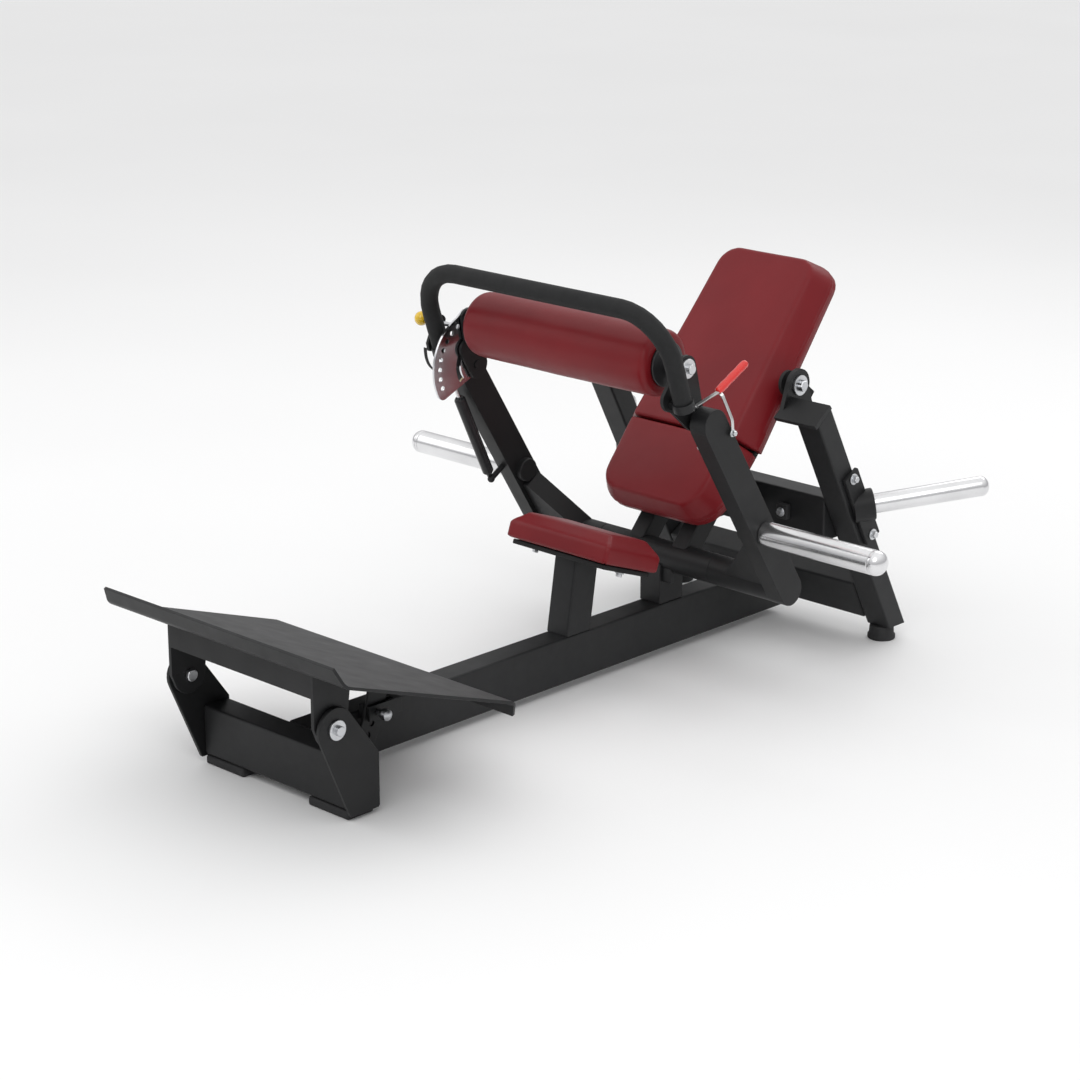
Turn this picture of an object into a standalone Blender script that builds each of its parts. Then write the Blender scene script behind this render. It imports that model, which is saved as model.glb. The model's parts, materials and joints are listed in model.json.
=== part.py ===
"""Plate-loaded hip thrust machine.

Metres, +Z up, +Y from the foot plate to the back pads, +X to the right of somebody
who looks along +Y.  The origin is on the floor under the middle of the bounding box.
Lengths along the machine are written as distances from its front edge.
"""
import math

import bmesh
import bpy
from mathutils import Matrix, Vector

for old_object in list(bpy.data.objects):
    bpy.data.objects.remove(old_object, do_unlink=True)

# ---------------------------------------------------------------- driving dimensions
MACHINE_LENGTH = 1.6581
GAP = 0.0003                  # clearance between touching pieces
PLATE = 0.008                 # thickness of the laser-cut plates
TUBE_CORNER = 0.005           # outside corner radius of the square tubes

RAIL_WIDTH = 0.060
RAIL_BOTTOM = 0.018
RAIL_TOP = 0.118
RAIL_END = 1.622

BAR_FRONT = 0.127             # front crossbar under the foot plate
BAR_DEPTH = 0.060
END_PLATE_X = 0.2075          # inner face of the two end plates
PAD_HEIGHT = 0.0185           # rubber pads under the crossbar

FOOT_PIVOT = (0.090, 0.192)   # (along, height) of the foot plate's pivot
FOOT_LUG_X = 0.198
FOOT_HALF_WIDTH = 0.332
FOOT_SHEET = 0.006

HUB = (1.205, 0.218)          # pivot of the two lever arms
HUB_RADIUS = 0.0318
HOUSING_HALF = 0.155
ARM_X = 0.335                 # middle of each lever arm
ARM_WIDTH = 0.040
ARM_DEPTH = 0.065
ARM_LEAN = math.radians(122.1)
ARM_LENGTH = 0.480            # hub to carriage pivot

HORN_ALONG_ARM = 0.167        # hub to weight horn
HORN_RADIUS = 0.025
HORN_TIP_X = 0.6530
STORE_RADIUS = 0.021

ROLLER_RADIUS = 0.068
ROLLER_HALF = 0.250
ROLLER_AXIS = (0.929, 0.722)
AXLE_RADIUS = 0.0100
SPIGOT_RADIUS = 0.0085        # pins in the arms' upper ends that carry the carriage
CARRIAGE_X = 0.3045           # outer face of the right carriage plate
BAR_RADIUS = 0.0190
BAR_TOP = (0.826, 0.8435)
BAR_FOOT = (0.8865, 0.6690)
BAR_LEG_X = 0.3310

SECTOR_X = (0.2985, 0.3035)   # inner and outer face of the index sector
HOLE_RADIUS = 0.098
HOLE_START = 118.0
HOLE_STEP = 12.0
HOLE_COUNT = 8
SLOT_RADIUS = 0.045
TIE_ANGLE = 126.0             # bolt through the sector's slot, at rest
TIE_RADIUS = 0.0060

STRUT_X = -0.3350
STRUT_LOW = (1.0350, 0.3500)
STRUT_HIGH = (0.8955, 0.6430)
LATCH_PIVOT = (1.0020, 0.5900)

BACK_PIVOT = (1.376, 0.593)
BACK_ANGLE = math.radians(49.0)
BACK_PIVOT_UP = 1.3504        # pivot's distance up the back rest
BACK_TOP = 1.643
BACK_WAIST = 1.197
BACK_BOTTOM = 1.010
BACK_TOP_HALF = 0.155
BACK_WAIST_HALF = 0.178
FACE_TOP_HALF = 0.127
FACE_WAIST_HALF = 0.138
RAIL_PLANE = 0.737            # front face of the two rails, on the back rest's scale
RAIL_X = 0.060
RAIL_DEPTH = 0.050
BACK_FACE = 0.059             # pad face in front of the board, measured from the board
BACK_BOARD = 0.012

LEG_X = 0.292
LEG_WIDTH = 0.060
LEG_DEPTH = 0.052
LEG_LEAN = math.radians(28.0)


def along(distance):
    """World Y of a distance from the front edge."""
    return distance - MACHINE_LENGTH / 2


def spot(x, point):
    """World point of (distance from the front, height) in the plane at x."""
    return Vector((x, along(point[0]), point[1]))


def polar(centre, radius, angle):
    """Point at a radius and an angle round a centre, in the side view."""
    return (centre[0] + radius * math.cos(angle), centre[1] + radius * math.sin(angle))


def arc(centre, radius, start, end, steps):
    """Points of an arc in the side view; angles in degrees."""
    points = []
    for step in range(steps + 1):
        angle = math.radians(start + (end - start) * step / steps)
        points.append(polar(centre, radius, angle))
    return points


def circle(centre, radius, steps=20):
    return arc(centre, radius, 0, 360 - 360 / steps, steps - 1)


# ---------------------------------------------------------------- scene helpers
scene = bpy.context.scene
PARTS = bpy.data.collections.new("hip_thrust_machine")
GUIDES = bpy.data.collections.new("cutters_and_joined_pieces")
scene.collection.children.link(PARTS)
scene.collection.children.link(GUIDES)


def finish(name, colour, roughness, metallic):
    material = bpy.data.materials.new(name)
    material.use_nodes = True
    shader = material.node_tree.nodes["Principled BSDF"]
    shader.inputs["Base Color"].default_value = (*colour, 1)
    shader.inputs["Roughness"].default_value = roughness
    shader.inputs["Metallic"].default_value = metallic
    return material


BLACK_PAINT = finish("black_powder_coat", (0.022, 0.022, 0.023), 0.45, 0.0)
RED_VINYL = finish("red_vinyl", (0.26, 0.016, 0.022), 0.42, 0.0)
CHROME = finish("chrome", (0.75, 0.75, 0.76), 0.12, 1.0)
ZINC = finish("zinc_steel", (0.60, 0.60, 0.61), 0.32, 1.0)
RUBBER = finish("black_rubber", (0.012, 0.012, 0.013), 0.75, 0.0)
FOAM = finish("foam_grip", (0.026, 0.027, 0.029), 0.85, 0.0)
BLACK_PLASTIC = finish("black_plastic", (0.016, 0.016, 0.017), 0.40, 0.0)
YELLOW_PLASTIC = finish("yellow_plastic", (0.80, 0.48, 0.02), 0.30, 0.0)
RED_PLASTIC = finish("red_plastic", (0.62, 0.02, 0.02), 0.30, 0.0)


def joint_empty(name, point):
    pivot = bpy.data.objects.new(name, None)
    pivot.empty_display_size = 0.05
    pivot.location = spot(0, point)
    PARTS.objects.link(pivot)
    return pivot


FOOT_JOINT = joint_empty("foot_plate_pivot", FOOT_PIVOT)
LEVER_JOINT = joint_empty("lever_pivot", HUB)
CARRIAGE_PIVOT = polar(HUB, ARM_LENGTH, ARM_LEAN)
CARRIAGE_JOINT = joint_empty("carriage_pivot", CARRIAGE_PIVOT)
ROLLER_JOINT = joint_empty("roller_spin", ROLLER_AXIS)


def attach(obj, material, pivot=None):
    """Give an object its material and its joint's empty, keeping its place."""
    obj.data.materials.clear()
    obj.data.materials.append(material)
    if pivot is not None:
        obj.parent = pivot
        obj.matrix_parent_inverse = Matrix.Translation(pivot.location).inverted()
    return obj


def mesh_object(name, shape, collection=PARTS):
    mesh = bpy.data.meshes.new(name)
    shape.to_mesh(mesh)
    shape.free()
    obj = bpy.data.objects.new(name, mesh)
    collection.objects.link(obj)
    return obj


def soften(obj, width, segments=2, limit=35):
    bevel = obj.modifiers.new("edges", "BEVEL")
    bevel.width = width
    bevel.segments = segments
    bevel.limit_method = "ANGLE"
    bevel.angle_limit = math.radians(limit)
    bevel.harden_normals = False
    return obj


def smooth(obj, limit=40):
    obj.data.shade_smooth()
    obj.data.set_sharp_from_angle(angle=math.radians(limit))
    return obj


def box(name, size, centre, tilt=0.0, edge=TUBE_CORNER, segments=2, collection=PARTS):
    """Box or closed square tube; tilt turns it about X."""
    shape = bmesh.new()
    bmesh.ops.create_cube(shape, size=1.0)
    bmesh.ops.scale(shape, vec=Vector(size), verts=shape.verts)
    obj = mesh_object(name, shape, collection)
    obj.location = centre
    obj.rotation_euler = (tilt, 0, 0)
    if edge:
        soften(obj, edge, segments)
    return obj


def aim(obj, centre, direction):
    """Place an object whose own axis is Z so that it points along a direction."""
    obj.rotation_mode = "QUATERNION"
    obj.rotation_quaternion = Vector((0, 0, 1)).rotation_difference(Vector(direction))
    obj.location = centre
    return obj


def rod(name, radius, start, end, segments=24, edge=0.0, collection=PARTS):
    """Round bar between two world points."""
    shape = bmesh.new()
    span = Vector(end) - Vector(start)
    bmesh.ops.create_cone(shape, cap_ends=True, segments=segments, radius1=radius,
                          radius2=radius, depth=span.length)
    obj = mesh_object(name, shape, collection)
    aim(obj, (Vector(start) + Vector(end)) / 2, span)
    if edge:
        soften(obj, edge, 2, 50)
    return smooth(obj)


def turned(name, profile, centre, direction, steps=28, collection=PARTS):
    """Solid of revolution; the profile is (radius, height), top to bottom."""
    shape = bmesh.new()
    ring = [shape.verts.new((radius, 0, height)) for radius, height in profile]
    for first, second in zip(ring, ring[1:]):
        shape.edges.new((first, second))
    obj = mesh_object(name, shape, collection)
    screw = obj.modifiers.new("turn", "SCREW")
    screw.steps = steps
    screw.render_steps = steps
    screw.use_merge_vertices = True
    screw.merge_threshold = 0.0001
    screw.use_smooth_shade = True
    return aim(obj, centre, direction)


def mesh_from_curve(name, curve, place, collection):
    """Evaluate a curve, weld its caps and keep the result as a mesh object."""
    holder = bpy.data.objects.new(name + "_curve", curve)
    scene.collection.objects.link(holder)
    holder.matrix_world = place
    bpy.context.view_layer.update()
    graph = bpy.context.evaluated_depsgraph_get()
    mesh = bpy.data.meshes.new_from_object(holder.evaluated_get(graph))
    shape = bmesh.new()
    shape.from_mesh(mesh)
    bmesh.ops.remove_doubles(shape, verts=shape.verts, dist=0.00001)
    obj = mesh_object(name, shape, collection)
    obj.matrix_world = holder.matrix_world
    bpy.data.objects.remove(holder, do_unlink=True)
    bpy.data.meshes.remove(mesh)
    return obj


def flat_plate(name, outlines, thickness, place, edge, collection=PARTS):
    """Plate cut from a flat outline; every outline after the first is a hole."""
    curve = bpy.data.curves.new(name, "CURVE")
    curve.dimensions = "2D"
    curve.fill_mode = "BOTH"
    curve.extrude = thickness / 2
    for outline in outlines:
        spline = curve.splines.new("POLY")
        spline.points.add(len(outline) - 1)
        for point, (first, second) in zip(spline.points, outline):
            point.co = (first, second, 0, 1)
        spline.use_cyclic_u = True
    obj = mesh_from_curve(name, curve, place, collection)
    if edge:
        soften(obj, edge, 1, 40)
    return obj


SIDE_VIEW = Matrix(((0, 0, 1, 0), (1, 0, 0, 0), (0, 1, 0, 0), (0, 0, 0, 1)))


def side_plate(name, outline, x_low, x_high, holes=(), edge=0.0012, collection=PARTS):
    """Plate in the side view; outline points are (distance from front, height)."""
    outlines = [[(along(a), b) for a, b in ring] for ring in (outline, *holes)]
    place = Matrix.Translation(((x_low + x_high) / 2, 0, 0)) @ SIDE_VIEW
    return flat_plate(name, outlines, x_high - x_low, place, edge, collection)


def bent_tube(name, points, radius, resolution=4, collection=PARTS):
    """Round tube along a list of world points, with closed ends."""
    curve = bpy.data.curves.new(name, "CURVE")
    curve.dimensions = "3D"
    curve.bevel_depth = radius
    curve.bevel_resolution = resolution
    curve.use_fill_caps = True
    spline = curve.splines.new("POLY")
    spline.points.add(len(points) - 1)
    for point, place in zip(spline.points, points):
        point.co = (*place, 1)
    return smooth(mesh_from_curve(name, curve, Matrix.Identity(4), collection), 50)


def combine(obj, other, operation):
    """Boolean that stays on the object; the other piece becomes a hidden guide."""
    for collection in list(other.users_collection):
        collection.objects.unlink(other)
    GUIDES.objects.link(other)
    other.hide_render = True
    other.display_type = "WIRE"
    step = obj.modifiers.new(operation.lower(), "BOOLEAN")
    step.operation = operation
    step.solver = "EXACT"
    step.object = other
    return obj


def mirrored_pairs():
    return (("left", -1), ("right", 1))


# ---------------------------------------------------------------- foot base
def build_foot_base():
    bar_middle = (BAR_FRONT + BAR_DEPTH / 2, (RAIL_BOTTOM + RAIL_TOP) / 2)
    bar_size = (2 * (END_PLATE_X - GAP), BAR_DEPTH, RAIL_TOP - RAIL_BOTTOM)
    attach(box("front_crossbar", bar_size, spot(0, bar_middle)), BLACK_PAINT)
    top_round = arc(FOOT_PIVOT, 0.042, 30, 205, 14)
    outline = [(0.121, 0.0125), (0.189, 0.0125), (0.193, 0.017), (0.193, 0.120)]
    outline += top_round
    hole = circle(FOOT_PIVOT, 0.0085)
    for side, sign in mirrored_pairs():
        faces = sorted((sign * END_PLATE_X, sign * (END_PLATE_X + PLATE)))
        plate = side_plate("end_plate_" + side, outline, *faces, holes=[hole])
        attach(plate, BLACK_PAINT)
        pad_middle = (BAR_FRONT + 0.030, (RAIL_BOTTOM - GAP) / 2)
        pad = box("rubber_pad_" + side, (0.110, 0.064, RAIL_BOTTOM - GAP),
                  spot(sign * (END_PLATE_X - 0.0603), pad_middle), edge=0.004)
        attach(pad, RUBBER)
    rail_start = BAR_FRONT + BAR_DEPTH + GAP
    rail_size = (RAIL_WIDTH, RAIL_END - rail_start, RAIL_TOP - RAIL_BOTTOM)
    rail_middle = ((RAIL_END + rail_start) / 2, (RAIL_BOTTOM + RAIL_TOP) / 2)
    return attach(box("main_rail", rail_size, spot(0, rail_middle)), BLACK_PAINT)


# ---------------------------------------------------------------- foot plate
FOOT_SECTION = ((-0.0035, 0.3610), (0.0130, 0.3255), (0.4300, 0.1835), (0.4425, 0.1500))
FOOT_FALL = (FOOT_SECTION[1][1] - FOOT_SECTION[2][1]) / (FOOT_SECTION[2][0] - FOOT_SECTION[1][0])
INDEX_RADIUS = 0.255
LOCK_ANGLE = math.radians(-17.0)
FOOT_STEP = math.radians(5.5)
INDEX_X = (0.0450, 0.0510)    # inner and outer face of the index plate beside the rail


def foot_underside(distance):
    """Height of the foot plate's underside at a distance from the front edge."""
    top = FOOT_SECTION[1][1] - (distance - FOOT_SECTION[1][0]) * FOOT_FALL
    return top - FOOT_SHEET * math.sqrt(1 + FOOT_FALL ** 2)


def build_foot_plate():
    half_widths = (FOOT_HALF_WIDTH - 0.012, FOOT_HALF_WIDTH, FOOT_HALF_WIDTH,
                   FOOT_HALF_WIDTH - 0.016)
    shape = bmesh.new()
    rows = []
    for point, half in zip(FOOT_SECTION, half_widths):
        rows.append([shape.verts.new(spot(-half, point)), shape.verts.new(spot(half, point))])
    for upper, lower in zip(rows, rows[1:]):
        shape.faces.new((upper[0], upper[1], lower[1], lower[0]))
    shape.normal_update()
    bends = [edge for edge in shape.edges if len(edge.link_faces) == 2]
    bmesh.ops.bevel(shape, geom=bends, offset=0.009, segments=4, profile=0.5,
                    affect="EDGES")
    plate = mesh_object("foot_plate", shape)
    sheet = plate.modifiers.new("sheet", "SOLIDIFY")
    sheet.thickness = FOOT_SHEET
    sheet.offset = -1.0
    sheet.use_even_offset = True
    smooth(attach(plate, BLACK_PAINT, FOOT_JOINT), 25)

    lug_front = 0.047
    lug_rear = 0.137
    lug_top = foot_underside(lug_front) - 2 * GAP, foot_underside(lug_rear) - 2 * GAP
    outline = [(lug_front, lug_top[0]), (lug_front, 0.200)]
    outline += arc(FOOT_PIVOT, 0.037, 195, 345, 12)
    outline += [(0.131, 0.225), (lug_rear, lug_top[1])]
    hole = circle(FOOT_PIVOT, 0.0085)
    web_low = 0.257
    web_high = foot_underside(lug_front + PLATE) - 2 * GAP
    web = box("foot_plate_bracket", (2 * FOOT_LUG_X, PLATE, web_high - web_low),
              spot(0, (lug_front + PLATE / 2, (web_high + web_low) / 2)), edge=0.0)
    for side, sign in mirrored_pairs():
        faces = sorted((sign * (FOOT_LUG_X - 0.002), sign * (FOOT_LUG_X + 0.006)))
        lug = side_plate("foot_lug_" + side, outline, *faces, holes=[hole], edge=0.0)
        combine(web, lug, "UNION")
    attach(web, BLACK_PAINT, FOOT_JOINT)

    for side, sign in mirrored_pairs():
        outer = sign * (END_PLATE_X + PLATE + GAP)
        profile = [(0, 0.0130), (0.0085, 0.0130), (0.0095, 0.0120), (0.0095, 0.0045),
                   (0.0190, 0.0045), (0.0195, 0.0035), (0.0195, 0), (0.0080, 0),
                   (0.0080, -0.0205), (0.0120, -0.0205), (0.0120, -0.0275),
                   (0.0105, -0.0290), (0, -0.0290)]
        bolt = turned("foot_pivot_bolt_" + side, profile, spot(outer, FOOT_PIVOT),
                      (sign, 0, 0), 20)
        attach(bolt, ZINC, FOOT_JOINT)

    outline = arc(FOOT_PIVOT, INDEX_RADIUS + 0.024, -32.5, -5, 8)
    outline += [(0.345, foot_underside(0.345) - GAP), (0.312, foot_underside(0.312) - GAP)]
    outline += arc(FOOT_PIVOT, INDEX_RADIUS - 0.024, -5, -32.5, 8)
    holes = []
    for step in range(3):
        place = polar(FOOT_PIVOT, INDEX_RADIUS, LOCK_ANGLE - FOOT_STEP * step)
        holes.append(circle(place, 0.0066, 16))
    index = side_plate("foot_index_plate", outline, *INDEX_X, holes=holes, edge=0.0)
    attach(index, ZINC, FOOT_JOINT)


def build_foot_lock():
    """Fork round the index plate: a boss on the rail, a cheek and a rear bridge."""
    centre = polar(FOOT_PIVOT, INDEX_RADIUS, LOCK_ANGLE)
    rail_side = RAIL_WIDTH / 2 + GAP
    boss_end = INDEX_X[0] - 0.0015
    cheek_start = INDEX_X[1] + 0.0030
    cheek_end = cheek_start + 0.006
    bridge_end = 0.396
    bridge_start = 0.380
    front = centre[0] - 0.022
    middle = (front + bridge_end) / 2
    lock = box("foot_lock_bracket", (boss_end - rail_side, bridge_end - front, 0.030),
               spot((boss_end + rail_side) / 2, (middle, centre[1])), edge=0.0)
    cheek = box("foot_lock_cheek", (cheek_end - cheek_start, bridge_end - front, 0.030),
                spot((cheek_end + cheek_start) / 2, (middle, centre[1])), edge=0.0)
    bridge = box("foot_lock_bridge", (cheek_end - rail_side - 0.002,
                                      bridge_end - bridge_start, 0.030),
                 spot((cheek_end + rail_side) / 2,
                      ((bridge_end + bridge_start) / 2, centre[1])), edge=0.0)
    bore = rod("foot_lock_bore", 0.0066, spot(rail_side + 0.003, centre),
               spot(cheek_end + 0.04, centre), 16)
    combine(lock, cheek, "UNION")
    combine(lock, bridge, "UNION")
    combine(lock, bore, "DIFFERENCE")
    attach(lock, BLACK_PAINT)
    profile = [(0, 0.040), (0.006, 0.0395), (0.0110, 0.036), (0.0120, 0.029),
               (0.0105, 0.022), (0.006, 0.018), (0.006, 0), (0, 0)]
    pin = turned("foot_lock_pin", profile, spot(INDEX_X[1] + 0.0006, centre), (1, 0, 0), 20)
    attach(pin, ZINC)


# ---------------------------------------------------------------- seat
SEAT_TILT = math.radians(-20)
SEAT_EDGE = (0.878, 0.300)    # lower front edge of the seat pad
SEAT_HALF = 0.140
SEAT_DEPTH = 0.172


def seat_point(back, up):
    """Point of the tilted seat: back along its base, up through its thickness."""
    cos, sin = math.cos(SEAT_TILT), math.sin(SEAT_TILT)
    return (SEAT_EDGE[0] + back * cos - up * sin, SEAT_EDGE[1] + back * sin + up * cos)


def seat_outline(inset):
    """Plan of the seat at a level: (across, back)."""
    half = SEAT_HALF - inset
    return [(-half, inset), (half, inset), (half, SEAT_DEPTH - inset),
            (-half, SEAT_DEPTH - inset)]


def build_seat():
    shape = bmesh.new()
    levels = ((0.0, 0.0), (0.0, 0.036), (0.026, 0.062))
    rings = []
    for inset, up in levels:
        ring = []
        for x, back in seat_outline(inset):
            ring.append(shape.verts.new(spot(x, seat_point(back, up))))
        rings.append(ring)
    for lower, upper in zip(rings, rings[1:]):
        for index in range(len(lower)):
            following = (index + 1) % len(lower)
            shape.faces.new((lower[index], lower[following], upper[following], upper[index]))
    shape.faces.new(rings[-1])
    shape.faces.new(list(reversed(rings[0])))
    pad = mesh_object("seat_pad", shape)
    attach(soften(pad, 0.004, 2, 12), RED_VINYL)

    board_size = (0.256, 0.144, 0.010)
    board = box("seat_board", board_size, spot(0, seat_point(SEAT_DEPTH / 2, -0.0053)),
                tilt=SEAT_TILT, edge=0.002)
    attach(board, BLACK_PAINT)
    lean = math.radians(-9.0)
    post = box("seat_post", (0.060, 0.070, 0.240), spot(0, (0.9335, 0.190)), tilt=lean,
               edge=TUBE_CORNER)
    under = box("seat_post_top_cut", (0.2, 0.4, 0.2),
                spot(0, seat_point(SEAT_DEPTH / 2, -0.0106 - 0.1)), tilt=SEAT_TILT, edge=0.0)
    over = box("seat_post_base_cut", (0.2, 0.4, 0.4), spot(0, (0.95, RAIL_TOP + GAP + 0.2)),
               edge=0.0)
    combine(post, under, "INTERSECT")
    combine(post, over, "INTERSECT")
    attach(post, BLACK_PAINT)


# ---------------------------------------------------------------- rear frame
UPPER_BEAM = (1.453, 0.299)


def leg_point(height, across=0.0):
    """Point on the rear leg's middle line, moved across the leg towards the back."""
    base = (1.6155, 0.030)
    distance = base[0] - (height - base[1]) * math.tan(LEG_LEAN)
    return (distance + across * math.cos(LEG_LEAN), height + across * math.sin(LEG_LEAN))


def build_rear_frame(rail):
    middle = leg_point(0.290)
    floor_cut_centre = spot(LEG_X, (1.5, 0.032 + 0.3))
    for side, sign in mirrored_pairs():
        leg = box("rear_leg_" + side, (LEG_WIDTH, LEG_DEPTH, 0.640),
                  spot(sign * LEG_X, middle), tilt=LEG_LEAN)
        foot_cut = box("leg_base_cut_" + side, (0.2, 1.0, 0.6),
                       (sign * LEG_X, *floor_cut_centre[1:]), edge=0.0)
        combine(leg, foot_cut, "INTERSECT")
        cap_cut = box("leg_top_cut_" + side, (0.2, 0.4, 0.2),
                      spot(sign * LEG_X, (1.345 - 0.1 * 0.6, 0.551 + 0.1 * 0.8)),
                      tilt=math.radians(37), edge=0.0)
        combine(leg, cap_cut, "DIFFERENCE")
        attach(leg, BLACK_PAINT)

        profile = [(0, 0.0315), (0.025, 0.0315), (0.026, 0.0285), (0.027, 0.0120),
                   (0.030, 0.0090), (0.030, 0.0015), (0.0285, 0), (0, 0)]
        foot = turned("rear_foot_" + side, profile, spot(sign * (LEG_X - 0.003), (1.603, 0)),
                      (0, 0, 1), 28)
        attach(foot, RUBBER)

    beam_size = (2 * (LEG_X - LEG_WIDTH / 2 - GAP), 0.060, 0.100)
    upper = box("upper_crossbeam", (beam_size[0], 0.060, 0.098), spot(0, UPPER_BEAM))
    attach(upper, BLACK_PAINT)
    low_place = leg_point(0.100, 0.004)
    lower = box("lower_crossbeam", (beam_size[0], 0.060, 0.100), spot(0, low_place),
                tilt=LEG_LEAN)
    attach(lower, BLACK_PAINT)
    behind_beam = leg_point(0.100, 0.004 - 0.030 - GAP + 0.150)
    end_cut = box("rail_end_cut", (0.2, 0.300, 0.600), spot(0, behind_beam),
                  tilt=LEG_LEAN, edge=0.0)
    combine(rail, end_cut, "DIFFERENCE")


def build_hinge_brackets():
    pivot_hole = circle(BACK_PIVOT, 0.0085)
    for side, sign in mirrored_pairs():
        faces = sorted((sign * 0.2140, sign * 0.2240))
        outline = arc(BACK_PIVOT, 0.034, -15, 165, 12)
        outline += [(1.3250, 0.5480), (1.3350, 0.5240), (1.4210, 0.5480)]
        ear = side_plate("hinge_bracket_" + side, outline, *faces, holes=[pivot_hole],
                         edge=0.0)
        slope = math.radians(37)
        across = sign * (0.214 + LEG_X + LEG_WIDTH / 2) / 2
        cap = box("leg_cap_" + side, (LEG_X + LEG_WIDTH / 2 - 0.214, 0.060, 0.010),
                  spot(across, (1.3343, 0.5495)), tilt=slope, edge=0.0)
        combine(ear, cap, "UNION")
        attach(ear, BLACK_PAINT)


def build_storage():
    collar_base = (1.4780, 0.3360)
    plate_middle = (1.4640, 0.3340)
    plate_x = LEG_X + LEG_WIDTH / 2 + GAP
    for side, sign in mirrored_pairs():
        base = spot(sign * (plate_x + 0.010), collar_base)
        tip = spot(sign * 0.509, (1.660, 0.377))
        direction = (tip - base).normalized()
        plate = box("storage_plate_" + side, (0.010, 0.046, 0.178),
                    spot(sign * (plate_x + 0.005), plate_middle), tilt=LEG_LEAN, edge=0.002)
        profile = [(0, 0.014), (0.032, 0.014), (0.034, 0.012), (0.034, -0.030), (0, -0.030)]
        socket = turned("storage_socket_" + side, profile, base, direction, 28)
        leg_side = box("storage_socket_cut_" + side, (0.2, 0.3, 0.3),
                       spot(sign * (plate_x - 0.1), collar_base), edge=0.0)
        bore = rod("storage_bore_" + side, STORE_RADIUS + GAP, base - direction * 0.002,
                   base + direction * 0.1, 28)
        combine(plate, socket, "UNION")
        combine(plate, leg_side, "DIFFERENCE")
        combine(plate, bore, "DIFFERENCE")
        attach(plate, BLACK_PAINT)
        length = (tip - base).length
        horn = [(0, length)]
        for step in range(1, 7):
            angle = math.radians(90 - 15 * step)
            horn.append((STORE_RADIUS * math.cos(angle),
                         length - STORE_RADIUS * 0.8 * (1 - math.sin(angle))))
        horn += [(STORE_RADIUS, -0.0015), (0, -0.0015)]
        bar = turned("storage_horn_" + side, horn, base, direction, 28)
        attach(bar, CHROME)


def build_hub_support():
    housing = rod("pivot_housing", HUB_RADIUS, spot(-HOUSING_HALF, HUB),
                  spot(HOUSING_HALF, HUB), 32)
    bore = rod("housing_bore", 0.0205, spot(-0.2, HUB), spot(0.2, HUB), 32)
    combine(housing, bore, "DIFFERENCE")
    attach(housing, BLACK_PAINT)
    seat_cut = rod("pedestal_seat_cut", HUB_RADIUS + GAP, spot(-0.2, HUB), spot(0.2, HUB), 32)
    pedestal = box("pivot_pedestal", (0.056, 0.074, 0.090),
                   spot(0, (HUB[0] + 0.004, RAIL_TOP + GAP + 0.045)), edge=0.002)
    wing = box("pedestal_wing", (0.104, 0.012, 0.040),
               spot(0, (HUB[0] - 0.020, 0.188)), edge=0.002)
    combine(pedestal, wing, "UNION")
    combine(pedestal, seat_cut, "DIFFERENCE")
    attach(pedestal, BLACK_PAINT)
    rail_line = RAIL_PLANE + RAIL_DEPTH / 2
    ends = (0.955, 1.190)
    middle = back_point((ends[0] + ends[1]) / 2, rail_line)
    for side, sign in mirrored_pairs():
        rail = box("back_rail_" + side, (0.040, RAIL_DEPTH, ends[1] - ends[0]),
                   spot(sign * RAIL_X, middle), tilt=BACK_ANGLE - math.pi / 2)
        tube_cut = rod("rail_hub_cut_" + side, HUB_RADIUS + GAP, spot(-0.3, HUB),
                       spot(0.3, HUB), 32)
        combine(rail, tube_cut, "DIFFERENCE")
        beam_front = UPPER_BEAM[0] - 0.030 - GAP
        link = box("rail_link_" + side, (0.040, beam_front - 1.300, 0.040),
                   spot(sign * RAIL_X, ((beam_front + 1.300) / 2, 0.315)), edge=0.0)
        combine(rail, link, "UNION")
        attach(rail, BLACK_PAINT)
    stop = box("stop_bumper", (0.030, 0.016, 0.034), spot(0.160, (1.4145, 0.300)), edge=0.004)
    attach(stop, RUBBER)


# ---------------------------------------------------------------- lever arms
def arm_point(distance, across=0.0):
    """Point along the lever arm from the hub, moved across it towards the back."""
    line = polar(HUB, distance, ARM_LEAN)
    return polar(line, across, ARM_LEAN - math.pi / 2)


def arm_outline():
    lean = math.degrees(ARM_LEAN)
    half = ARM_DEPTH / 2
    outline = arc(HUB, half, lean + 90, lean + 270, 14)
    outline += arc(arm_point(ARM_LENGTH - 0.016), half, lean - 90, lean + 90, 14)
    return outline


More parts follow.
